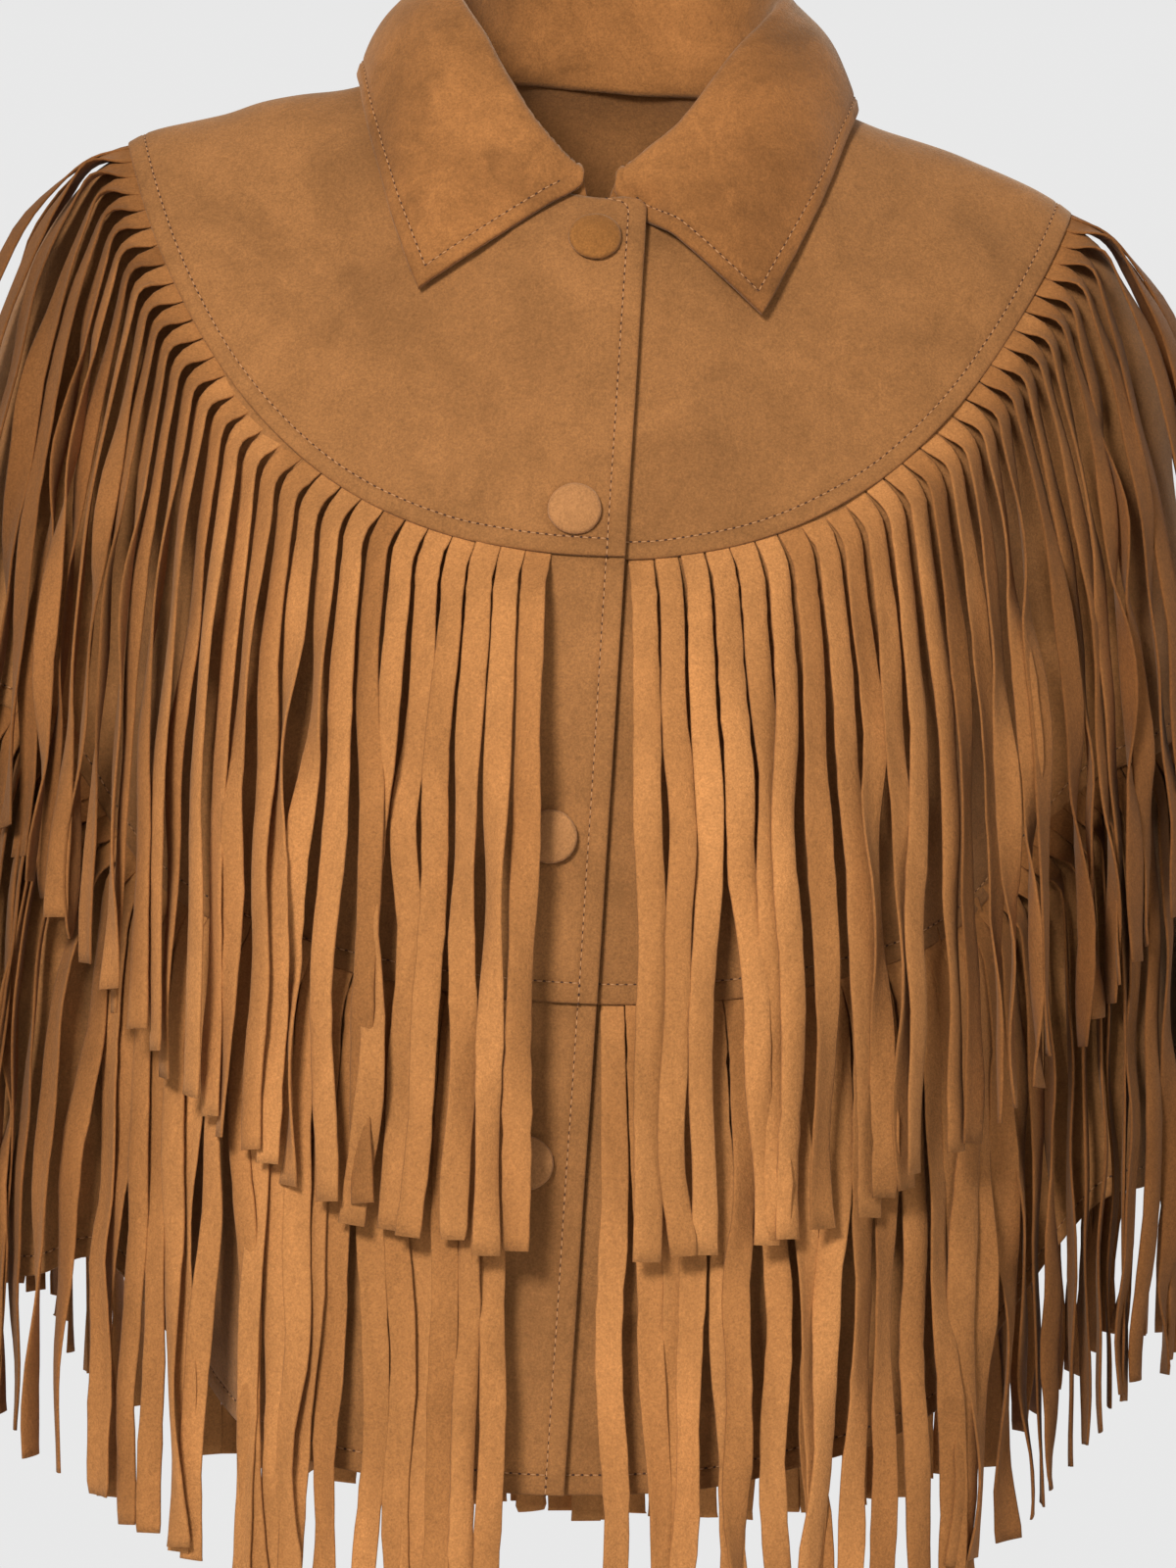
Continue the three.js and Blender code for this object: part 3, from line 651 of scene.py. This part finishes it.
def collar_knots(turn, side):
    """The collar's middle line in section, from the neck seam over the roll to the fall's edge."""
    get = {column: along(TURNS, values, turn) for column, values in COLLAR.items()}
    seam_angle = side * np.radians(get["seam"])
    seam = cape(seam_angle, 0.0)
    tuck_point, _, _, tuck_out = place_on(seam_angle, TUCK_T)
    tuck = tuck_point - tuck_out * TUCK_DEPTH
    roll = side * np.radians(get["roll"])
    whole = smoothstep(turn, 0, ROLL["full_at"])
    radius = mix(ROLL["front_radius"], ROLL["radius"], whole)
    depth = ROLL["front"] if math.cos(roll) >= 0 else ROLL["back"]
    radial = np.array([math.sin(roll), -math.cos(roll), 0])
    up = np.array([0, 0, 1.0])
    around = [ROLL["half_width"] * math.sin(roll), -depth * math.cos(roll)]
    centre = np.array([*around, get["roll_z"] - radius])
    inner = centre - radial * radius
    top = centre + up * radius
    outer = centre + radial * radius - up * get["drop"]
    point, _, _, out = place_on(side * np.radians(get["edge"]), get["edge_t"])
    edge = point + out * get["lift"]
    bulge_way = unit(out + radial)
    bulge = bulge_way * mix(*FALL_BULGE, whole)
    falls = [mix(outer, edge, v) + bulge * 4 * v * (1 - v) for v in FALL_KNOTS]
    stand = [tuck, seam - tuck_out * SEAM_DEPTH, mix(seam, inner, 0.5), inner]
    return np.array([*stand, top, outer, *falls, edge])


FINE_STEPS = 160


def through(knots, spread):
    """Points on a smooth line through knots, at the distances that spread gives its length."""
    chords = np.concatenate([[0], np.cumsum(np.linalg.norm(np.diff(knots, axis=0), axis=-1))])
    fine = np.linspace(0, chords[-1], FINE_STEPS)
    line = np.stack([along(chords, knots[:, k], fine) for k in range(3)], -1)
    run = np.concatenate([[0], np.cumsum(np.linalg.norm(np.diff(line, axis=0), axis=-1))])
    wanted = spread(run[-1])
    return np.stack([np.interp(wanted, run, line[:, k]) for k in range(3)], -1)


COLLAR_EDGE_LINES = np.array([0, 0.4, 1.1, 2.2, 3.8, 5.2, 6.2, 7.0, 8.2, 10, 13])
COLLAR_ROWS = 44
COLLAR_STITCH = 6.5
COLLAR_TURNS = 70
HALF_COLLAR = 330
LEAF_FULLNESS, EDGE_FULLNESS = 0.75, 1.25
# The left leaf's lower front corner: where it is, and how far it stays from the yoke
CORNER_X, CORNER_FRONT, CORNER_TOP = (2, 34), -50, 2
CORNER_FADE_X, CORNER_FADE_Z = (20, 33), (-7, 0)
CORNER_GAP = 0.1
NECK_RADIUS = 90


def tuck_corner(points):
    """The left leaf's lower front corner passes under the placket."""
    x, y, z = np.moveaxis(points, -1, 0)
    past_roll = np.arange(points.shape[1])[None, :] > np.argmax(z, 1)[:, None]
    chosen = (x > CORNER_X[0]) & (x < CORNER_X[1]) & (y < CORNER_FRONT) & (z < CORNER_TOP)
    chosen = chosen & past_roll
    spots = points[chosen]
    theta, t = np.arcsin(spots[:, 0] / NECK_RADIUS), np.full(len(spots), 0.5)
    for _ in range(5):
        theta, t = nearest_on(spots, theta, np.clip(t, 0, 3), False)
    on, _, _, out = place_on(theta, t)
    lift = dot(spots - on, out)
    share = 1 - smoothstep(spots[:, 0], *CORNER_FADE_X)
    share = share * (1 - smoothstep(spots[:, 2], *CORNER_FADE_Z))
    moved = points.copy()
    moved[chosen] = spots - out * ((lift - CORNER_GAP) * share)[:, None]
    return moved


def collar():
    def spread(length):
        even = np.linspace(0, length - COLLAR_EDGE_LINES[-1], COLLAR_ROWS, endpoint=False)
        return np.concatenate([even, length - COLLAR_EDGE_LINES[::-1]])

    near = COLLAR_EDGE_LINES / HALF_COLLAR
    turns = np.concatenate([near, np.linspace(near[-1], 1, COLLAR_TURNS + 1)[1:]])
    sections = []
    for side in (-1, 1):
        half = [through(collar_knots(turn, side), spread) for turn in turns]
        sections.extend(half if side < 0 else half[-2::-1])
    points = tuck_corner(np.array(sections)[::-1])
    across = np.gradient(points, axis=0)
    down = np.gradient(points, axis=1)
    out = unit(np.cross(down, across))
    run_down = arc(points, 1)
    to_edge = run_down[:, -1:] - run_down
    run = arc(points, 0)
    to_front = np.minimum(run, run[-1:] - run)
    nearest = np.minimum(to_edge, to_front)
    relief = band_relief(nearest, COLLAR_STITCH) * 1.3
    fullness = mix(LEAF_FULLNESS, EDGE_FULLNESS, 1 - smoothstep(nearest, 5.5, 8))
    half_wall = COLLAR_WALL / 2 * fullness
    thin = rounding(nearest / 1.3)
    grow = hide_bumps(points) + 0.5 * hide_waves(points)
    upper = points + out * (relief + grow + half_wall * thin)[..., None]
    lower = points + out * (grow - half_wall * thin)[..., None]
    tones = edge_tones(nearest, 0.25, 0.8, COLLAR_STITCH)
    tones = tones * (1 - 0.16 * smoothstep(points[..., 0], 10, 70) * (points[..., 1] < 0))
    tones = np.concatenate([tones.ravel(), np.full(tones.size, INSIDE_TONE)])
    both = np.concatenate([upper.reshape(-1, 3), lower.reshape(-1, 3)])
    faces = shell_faces(points.shape[0] - 1, points.shape[1] - 1)
    piece = make_piece("collar_leaves", both, faces, [COLLAR_SUEDE], tones)
    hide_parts("collar")
    edge_line = line_across(upper, to_edge, COLLAR_STITCH)
    edge_ways = line_across(out, to_edge, COLLAR_STITCH)
    inside = to_front[:, -8] > COLLAR_STITCH
    lines = [(edge_line[inside], edge_ways[inside])]
    half_count = points.shape[0] // 2
    for part in (slice(half_count, None), slice(half_count, None, -1)):
        block = np.swapaxes(upper[part], 0, 1)
        ways = np.swapaxes(out[part], 0, 1)
        gaps = np.swapaxes(to_front[part], 0, 1)
        front = line_across(block, gaps, COLLAR_STITCH)
        front_ways = line_across(ways, gaps, COLLAR_STITCH)
        keep = slice(int(len(front) * 0.3), len(front) - 7)
        lines.append((front[keep], front_ways[keep]))
    stitches = stitching("collar_stitching", lines)
    return piece, stitches, flat_size(points)


# Fringe

STRAND_STEP = 4
STRAND_TURN = 24
STRAND_FILL = 0.96
CREST_FILL = 1.3
CREST_FILL_REACH = (0.93, 0.99)
CREST_TURN = 0.35
CREST_TURN_REACH = (0.85, 0.97)
CREST_SINK = 0.55
CLOSURE_HEIGHT = 8
CLOSURE_REACH = (12, 40)
STRIP_TUCK = 7
UPPER = {
    "t": 3,
    "tier": 0,
    "length": 280,
    "at": [0, 12, 34, 150, 276],
    "lift": [-1.15, 2.0, 3.4, 12, 13],
}
LOWER = {
    "t": 6,
    "tier": 1,
    "length": 252,
    "at": [0, 12, 34, 248],
    "lift": [-1.15, 2.4, 3.9, 6],
}
STRIPS = [
    ("fringe_upper_front_right", UPPER, -1, 31),
    ("fringe_upper_front_left", UPPER, 1, 29),
    ("fringe_upper_back", UPPER, 0, 53),
    ("fringe_lower_front_right", LOWER, -1, 40),
    ("fringe_lower_front_left", LOWER, 1, 37),
    ("fringe_lower_back", LOWER, 0, 60),
]
# Where the arm meets the body, to the viewer's left and right
VALLEYS = (186.0, 188.0)
VALLEY_REACH = 22
PARTING_REACH = 15
# The shortest and longest wave and the height of each kind
WAVES = {
    "twist": (150, 380, 0.8),
    "sway": (130, 300, 3.4),
    "bob": (70, 170, 2.2),
    # The nap waves change a strand's colour slowly along its length: partly the hide's nap, partly
    # painted shade where the strand turns into and out of the light.
    "nap": (90, 240, 0.055),
}
WAVE_SHARES = (1, 0.6)
WAVES_TOGETHER = 1.3
TWISTS, TWIST_ODDS = [0.2, 0.45, 0.9], [0.45, 0.35, 0.2]
CLUMP, CLUMP_TURN = 6, 1.15
LEAN_BY_PLACKET = math.tan(math.radians(1.6))
# Across a strand: places from edge to edge and the wall's thickness there
ACROSS = np.array([-1, -0.9, -0.5, 0, 0.5, 0.9, 1])
THICK = np.array([0.6, 1, 1, 1, 1, 1, 0.6])
RIM_SHADE = 0.16
# Painted shade: the strands on the arms are darkened in their colour, as the arms turn away from
# the light.
ARM_PAINTED_SHADE = 0.5
ARM_SHADE_REACH = (125, 235)


def nearest_on(points, theta, t, plain):
    for _ in range(2):
        on, across, down, _ = place_on(theta, t, plain)
        away = points - on
        aa, ab, bb = dot(across, across), dot(across, down), dot(down, down)
        ra, rb = dot(away, across), dot(away, down)
        det = aa * bb - ab * ab
        theta = theta + (ra * bb - rb * ab) / det
        t = t + (rb * aa - ra * ab) / det
    return theta, t


def seam_angles(t, start, end, count):
    """Angles evenly spaced along the cloth at t, and the spacing."""
    theta = np.linspace(start, end, 1200)
    steps = np.linalg.norm(np.diff(cape(theta, t), axis=0), axis=-1)
    run = np.concatenate([[0], np.cumsum(steps)])
    return np.interp((np.arange(count) + 0.5) * run[-1] / count, run, theta), run[-1] / count


def strip_range(fringe, side):
    inset = 1.5 / float(ring("front", fringe["t"]))
    if side < 0:
        return -SHOULDER_SEAM + inset, float(theta_at(-8.0, fringe["t"]))
    if side > 0:
        start = placket_edge(fringe["t"]) + 1.5
        return float(theta_at(start, fringe["t"])), SHOULDER_SEAM - inset
    return SHOULDER_SEAM + inset, 2 * math.pi - SHOULDER_SEAM - inset


def walk(theta0, fringe):
    """The lines of a strip's strands down the cloth and past the hem.

    With them go the outward way and the heading at each step, the seam's way and the hang.
    """
    t0 = np.full_like(theta0, fringe["t"])
    _, across0, _, out0 = place_on(theta0, t0)
    along0 = unit(across0)
    away0 = -np.cross(out0, along0)
    cloth_theta = theta0
    cloth_t = t0
    start = cape(cloth_theta, cloth_t)
    theta, t = nearest_on(start, cloth_theta, cloth_t, True)
    line = cape(theta, t, True)
    out = place_on(theta, t, True)[3]
    sunk = dot(line - start, out)
    arm = smoothstep(np.abs(start[:, 0]), *ARM_SIDE)[:, None]
    hang = unit(mix(GRAVITY, DOWN_CAPE, arm))
    lines, outs, headings = [line - out * sunk[:, None]], [out], [away0]
    walked = 0.0
    while walked < fringe["length"] - 1e-6:
        turned = smoothstep(walked + STRAND_STEP / 2, 0, STRAND_TURN)
        heading = mix(away0, hang, turned)
        on_cloth = cloth_t < HEM_T
        flat = unit(heading - out * dot(heading, out)[:, None])
        heading = np.where(on_cloth[:, None], flat, unit(heading))
        line = line + heading * STRAND_STEP
        new_theta, new_t = nearest_on(line, theta, t, True)
        theta = np.where(on_cloth, new_theta, theta)
        t = np.where(on_cloth, new_t, t)
        out = np.where(on_cloth[:, None], place_on(theta, t, True)[3], out)
        point = line - out * sunk[:, None]
        new_theta, new_t = nearest_on(point, cloth_theta, cloth_t, False)
        cloth_theta = np.where(on_cloth, new_theta, cloth_theta)
        cloth_t = np.where(on_cloth, new_t, cloth_t)
        under, _, _, under_out = place_on(cloth_theta, cloth_t)
        depth = dot(under - point, under_out)
        pushed = depth / np.maximum(dot(under_out, out), 0.3)
        sunk = np.where(on_cloth & (depth > 0), sunk - pushed, sunk)
        lines.append(line - out * sunk[:, None])
        outs.append(out)
        headings.append(heading)
        walked += STRAND_STEP
    return np.array(lines), np.array(outs), np.array(headings), along0, hang


def wander(count, steps, kind):
    """Smooth random waves down each strand, one row a step."""
    shortest, longest, height = WAVES[kind]
    down = np.arange(steps)[:, None] * STRAND_STEP
    total = 0
    for share in WAVE_SHARES:
        length = rng.uniform(shortest, longest, count) * share
        phase = rng.uniform(0, 2 * math.pi, count)
        total = total + share * np.sin(2 * math.pi * down / length + phase)
    return total / WAVES_TOGETHER * height


def strand_course(fringe, side, count):
    """Each strand's middle line, a row a step, with its way across and its normal.

    With them go the tangents, the point under the seam and the width of each strand.
    """
    theta0, pitch = seam_angles(fringe["t"], *strip_range(fringe, side), count)
    lines, outs, headings, along0, hang = walk(theta0, fringe)
    steps = len(lines)
    down = np.arange(steps)[:, None] * STRAND_STEP
    free = smoothstep(down, 15, 120)
    turned = smoothstep(down, 0, STRAND_TURN)
    settled = smoothstep(down, 6, 60)
    rise = -dot(along0, GRAVITY)
    tier = fringe["tier"]
    sideways = np.abs(np.sin(theta0))
    at_crest = smoothstep(sideways, *CREST_TURN_REACH)

    lively = rng.uniform(0.35, 1, count)
    middle_x = lines[steps // 2][:, 0]
    from_middle = np.abs(middle_x)
    beyond = from_middle - np.where(middle_x < 0, *VALLEYS)
    in_valley = np.exp(-((beyond / VALLEY_REACH) ** 2))
    wide = np.maximum(smoothstep(sideways, *CREST_FILL_REACH), in_valley * tier)
    width = pitch * mix(STRAND_FILL, CREST_FILL, wide)
    calm = smoothstep(from_middle, 12, 60)

    liveliness = rng.choice(TWISTS, count, p=TWIST_ODDS)
    turning = mix(liveliness, 0.9, in_valley * (1 - 0.7 * tier))
    twist = wander(count, steps, "twist") * turning * free
    sway = wander(count, steps, "sway") * lively * free * mix(0.3, 1, calm)
    clump = CLUMP * np.sin(np.arange(count) * CLUMP_TURN + rng.uniform(0, 6))
    clump = clump * rng.uniform(0.3, 1, count)
    astray = (clump + rng.normal(0, 6, count)) * calm
    sway = sway + free * (down / fringe["length"]) ** 1.3 * astray
    parting = np.exp(-((beyond / PARTING_REACH) ** 2)) * (9 - 7.5 * tier)
    parting = np.sign(beyond) * np.sign(middle_x) * parting
    beside_placket = (1 - smoothstep(from_middle, 60, 150)) * (middle_x < 0)
    sway = sway + free * parting - down * LEAN_BY_PLACKET * beside_placket
    bob = wander(count, steps, "bob") * lively * free
    layer = (np.arange(count) % 2) * 2.0 + rng.uniform(0, 3.0, count)

    x = lines[..., 0]
    near_closure = 1 - smoothstep(np.abs(x), *CLOSURE_REACH)
    lift = along(fringe["at"], fringe["lift"], np.minimum(down, fringe["at"][-1]))
    lift = lift * (1 - CREST_SINK * at_crest * smoothstep(down, 10, 40))
    lift = lift - tier * TIER_STEP + closure_offset(x, side)
    lift = lift + turned * (0.5 * width * np.abs(rise) + CLOSURE_HEIGHT * near_closure)
    lift = lift + settled * layer + bob + np.abs(bob).max(0) * free * 0.8
    facing_way = np.where(np.cos(theta0) >= 0, -1.0, 1.0)
    twist = twist - np.sign(along0[:, 1] * facing_way) * CREST_TURN * at_crest * settled
    lift = lift + 0.5 * width * np.abs(np.sin(twist))

    centre = lines + outs * lift[..., None]
    level = unit(np.cross(outs, hang))
    level = level * np.where(dot(level, along0) < 0, -1, 1)[..., None]
    hung = level * np.sqrt(1 - rise * rise)[:, None] - outs * rise[:, None]
    width_way = unit(mix(along0, hung, turned[..., None]))
    centre = centre + width_way * sway[..., None]
    tangent = unit(np.gradient(centre, axis=0))
    width_way = unit(width_way - tangent * dot(width_way, tangent)[..., None])
    normal = unit(np.cross(tangent, width_way))
    normal = normal * np.where(dot(normal, outs) < 0, -1, 1)[..., None]
    cos, sin = np.cos(twist)[..., None], np.sin(twist)[..., None]
    width_way, normal = width_way * cos + normal * sin, normal * cos - width_way * sin
    root = lines[0] - headings[0] * STRIP_TUCK + outs[0] * lift[0][:, None]
    return centre, width_way, normal, tangent, root, width


def strand_faces(stations, ring_size):
    """Faces of one strand: a tube through its sections, closed at both ends."""
    ids = np.arange(stations * ring_size).reshape(stations, ring_size)
    after = np.roll(ids, -1, 1)
    body = np.stack([ids[:-1], after[:-1], after[1:], ids[1:]], -1).reshape(-1, 4).tolist()
    back = ring_size - 1
    top = [[k, back - k, back - 1 - k, k + 1] for k in range(ring_size // 2 - 1)]
    last = (stations - 1) * ring_size
    bottom = [[last + v for v in reversed(face)] for face in top]
    return body + top + bottom


def fringe_strip(name, fringe, side, count):
    centre, width_way, normal, tangent, root, width = strand_course(fringe, side, count)
    steps = len(centre)
    cup = rng.uniform(-1.3, 1.3, count) * 0.8
    keep = np.unique(np.concatenate([np.arange(9), np.arange(10, steps, 2), [steps - 1]]))
    centre = np.concatenate([root[None], centre[keep]])
    width_way = np.concatenate([width_way[:1], width_way[keep]])
    normal = np.concatenate([normal[:1], normal[keep]])
    stations = len(centre)
    centre[-1] += tangent[-1] * rng.uniform(-4, 1.5, count)[:, None]
    half = width[None, :, None] / 2 * (1 + 0.03 * rng.normal(size=(1, count, 1)))
    half = half * (1 + 0.035 * rng.normal(size=(stations, count, 1)))
    widening = np.concatenate([[0], smoothstep(keep * STRAND_STEP, 16, 90)])[:, None, None]
    bending = np.concatenate([[0], smoothstep(keep * STRAND_STEP, 8, 60)])[:, None, None]
    bend = (ACROSS**2 - 0.4)[None, None, :] * cup[None, :, None] * bending
    reach = half * (1 + 0.14 * widening) * ACROSS
    flat = centre[:, :, None] + width_way[:, :, None] * reach[..., None]
    flat = flat + normal[:, :, None] * bend[..., None]
    wall = normal[:, :, None] * (STRAND_WALL / 2 * THICK)[None, None, :, None]
    loops = np.concatenate([flat + wall, (flat - wall)[:, :, ::-1]], 2)
    ring_size = loops.shape[2]
    one = strand_faces(stations, ring_size)
    size = stations * ring_size
    faces = [[v + n * size for v in face] for n in range(count) for face in one]
    points = np.swapaxes(loops, 0, 1).reshape(-1, 3)
    strand_tone = rng.normal(1, 0.085, (count, 1, 1))
    # Colour along each strand: the hide's nap and painted shade together.
    nap = wander(count, steps, "nap")[keep].T
    nap = 1 + np.concatenate([nap[:, :1], nap], 1)[:, :, None]
    edges = 1 - RIM_SHADE * (np.abs(ACROSS) > 0.95)
    rim = np.concatenate([edges, edges * 0.93])
    # Painted shade: the strands' colour darkens towards the arms.
    painted_arm_shade = 1 - ARM_PAINTED_SHADE * smoothstep(np.abs(centre[..., 0]), *ARM_SHADE_REACH)
    tones = (strand_tone * nap * painted_arm_shade.T[:, :, None] * rim).ravel()
    piece = make_piece(f"{name}_strands", points, faces, [FRINGE_SUEDE], tones)
    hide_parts(name)
    return piece


# Buttons

BUTTON_HEIGHTS = [-28, -139, -269, -398]
BUTTON_SEAT = 1.4
BUTTON_PROFILE = [
    (0, -0.8),
    (6.4, -0.8),
    (6.6, -0.1),
    (9.4, 0),
    (10.3, 0.3),
    (10.75, 1.0),
    (10.6, 1.9),
    (9.9, 2.7),
    (9.0, 3.15),
    (8.3, 3.35),
    (6.8, 3.75),
    (4.6, 4.2),
    (2.2, 4.45),
    (0, 4.5),
]
BUTTON_SIDES = 56


def t_at_height(height):
    """Where the centre front passes a height."""
    low, high = 0.0, float(HEM_T)
    while high - low > 1e-6:
        middle = (low + high) / 2
        if cape(0.0, middle)[2] > height:
            low = middle
        else:
            high = middle
    return low


def button(number, height, material):
    t = t_at_height(height)
    point, _, _, out = place_on(0.0, t)
    rows_above = sum(t > row["edge"] for row in PANEL_ROWS.values())
    seat = CLOSURE_LIFT - rows_above * TIER_STEP + BUTTON_SEAT
    profile = np.array(BUTTON_PROFILE)
    n = BUTTON_SIDES
    angles = np.arange(n) * 2 * math.pi / n
    side_way = unit(np.cross(out, [0, 0, 1.0]))
    up_way = np.cross(side_way, out)
    wobble = 0.006 * np.sin(3 * angles + number) + 0.004 * np.sin(7 * angles + 2 * number)
    across = (np.cos(angles) * (1 + wobble))[:, None]
    along_up = (np.sin(angles) * (1 + wobble))[:, None]
    circle = side_way * across + up_way * along_up
    rings = [point + out * (seat + h) + circle * r for r, h in profile[1:-1]]
    ends = [[point + out * (seat + profile[end][1])] for end in (0, -1)]
    points = np.concatenate([ends[0], *rings, ends[1]])
    top_ring = 1 + (len(rings) - 1) * n
    faces = []
    for k in range(n):
        m = (k + 1) % n
        faces.append([0, 1 + k, 1 + m])
        for r in range(len(rings) - 1):
            a = 1 + r * n
            faces.append([a + k, a + n + k, a + n + m, a + m])
        faces.append([top_ring + k, len(points) - 1, top_ring + m])
    radii = np.concatenate([[0], np.repeat(profile[1:-1, 0], n), [0]])
    tones = 1 + 0.06 * smoothstep(radii, 8.5, 10) - 0.12 * smoothstep(radii, 10.4, 10.7)
    piece = make_piece(f"covered_button_{number}", points, faces, [material], tones)
    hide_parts(f"button_{number}")
    return piece


# The whole cape

sheets = {}
for row_name, row in PANEL_ROWS.items():
    for side_name, side in PANEL_SIDES.items():
        name = f"{row_name}_{side_name}"
        sheets[name] = panel(name, row, side)
sheets["collar"] = collar()
strands = {name: fringe_strip(name, fringe, side, count) for name, fringe, side, count in STRIPS}
# The first button takes the suede with painted shade.
for number, height in enumerate(BUTTON_HEIGHTS, 1):
    button(number, height, TOP_BUTTON_PAINTED_SHADE_SUEDE if number == 1 else BUTTON_SUEDE)

for name, (piece, stitches, (width, length, area)) in sheets.items():
    row_name, _, side_name = name.partition("_")

# Stage, light and camera, in metres

FLOOR_HEIGHT = -1.38
FLOOR_RADIUS = 6.0
FLOOR_SIDES = 96
WALL_LEVEL = 0.81
SKY = [(0.25, 0.1), (0.42, WALL_LEVEL), (0.56, WALL_LEVEL), (0.75, 0.25)]
LIGHTS = [
    ("key", (-0.85, -2.8, 0.95), (0, 0, -0.3), 0.7, 104),
    ("fill", (2.2, -2.0, 0.6), (0, 0, -0.25), 2.0, 7),
    ("back", (0.8, 2.4, 1.4), (0, 0, -0.25), 1.8, 40),
]
PHOTO_HEIGHT = 1600
LENS_PIXELS = 6500
SENSOR = 36


def floor():
    mesh = bpy.data.meshes.new("studio_floor")
    turns = np.arange(FLOOR_SIDES) * 2 * math.pi / FLOOR_SIDES
    corners = [(math.cos(a), math.sin(a)) for a in turns]
    rim = [(FLOOR_RADIUS * x, FLOOR_RADIUS * y, FLOOR_HEIGHT) for x, y in corners]
    mesh.from_pydata(rim, [], [tuple(range(FLOOR_SIDES))])
    material, _, shader = new_material("pale_floor")
    shader.inputs["Base Color"].default_value = (0.8, 0.8, 0.8, 1)
    shader.inputs["Roughness"].default_value = 0.9
    mesh.materials.append(material)
    made = bpy.data.objects.new("studio_floor", mesh)
    bpy.context.scene.collection.objects.link(made)


def sky():
    """A pale studio: even behind the cape, darker above and below."""
    world = bpy.data.worlds.new("studio")
    bpy.context.scene.world = world
    world.use_nodes = True
    tree = world.node_tree
    way = node(tree, "ShaderNodeTexCoord").outputs["Generated"]
    up = node(tree, "ShaderNodeSeparateXYZ", {0: way}).outputs[2]
    height = node(tree, "ShaderNodeMath", {0: up, 1: 0.5, 2: 0.5}, operation="MULTIPLY_ADD")
    colour = ramp(tree, height.outputs[0], SKY)
    tree.links.new(colour, tree.nodes["Background"].inputs["Color"])


def area_light(name, place, target, size, power):
    light = bpy.data.lights.new(name, "AREA")
    light.shape = "DISK"
    light.size = size
    light.energy = power
    made = bpy.data.objects.new(name, light)
    bpy.context.scene.collection.objects.link(made)
    made.location = place
    way = np.array(target) - np.array(place)
    made.rotation_mode = "QUATERNION"
    made.rotation_quaternion = Vector(way).to_track_quat("-Z", "Y")


floor()
sky()
for light in LIGHTS:
    area_light(*light)
bpy.context.scene.view_settings.view_transform = "Standard"

camera_data = bpy.data.cameras.new("photo_camera")
camera_data.sensor_width = SENSOR
camera_data.lens = LENS_PIXELS / PHOTO_HEIGHT * SENSOR
camera = bpy.data.objects.new("photo_camera", camera_data)
bpy.context.scene.collection.objects.link(camera)
camera.location = (-0.0048, -2.66, -0.2472)
camera.rotation_euler = (math.pi / 2, 0, 0)
bpy.context.scene.camera = camera
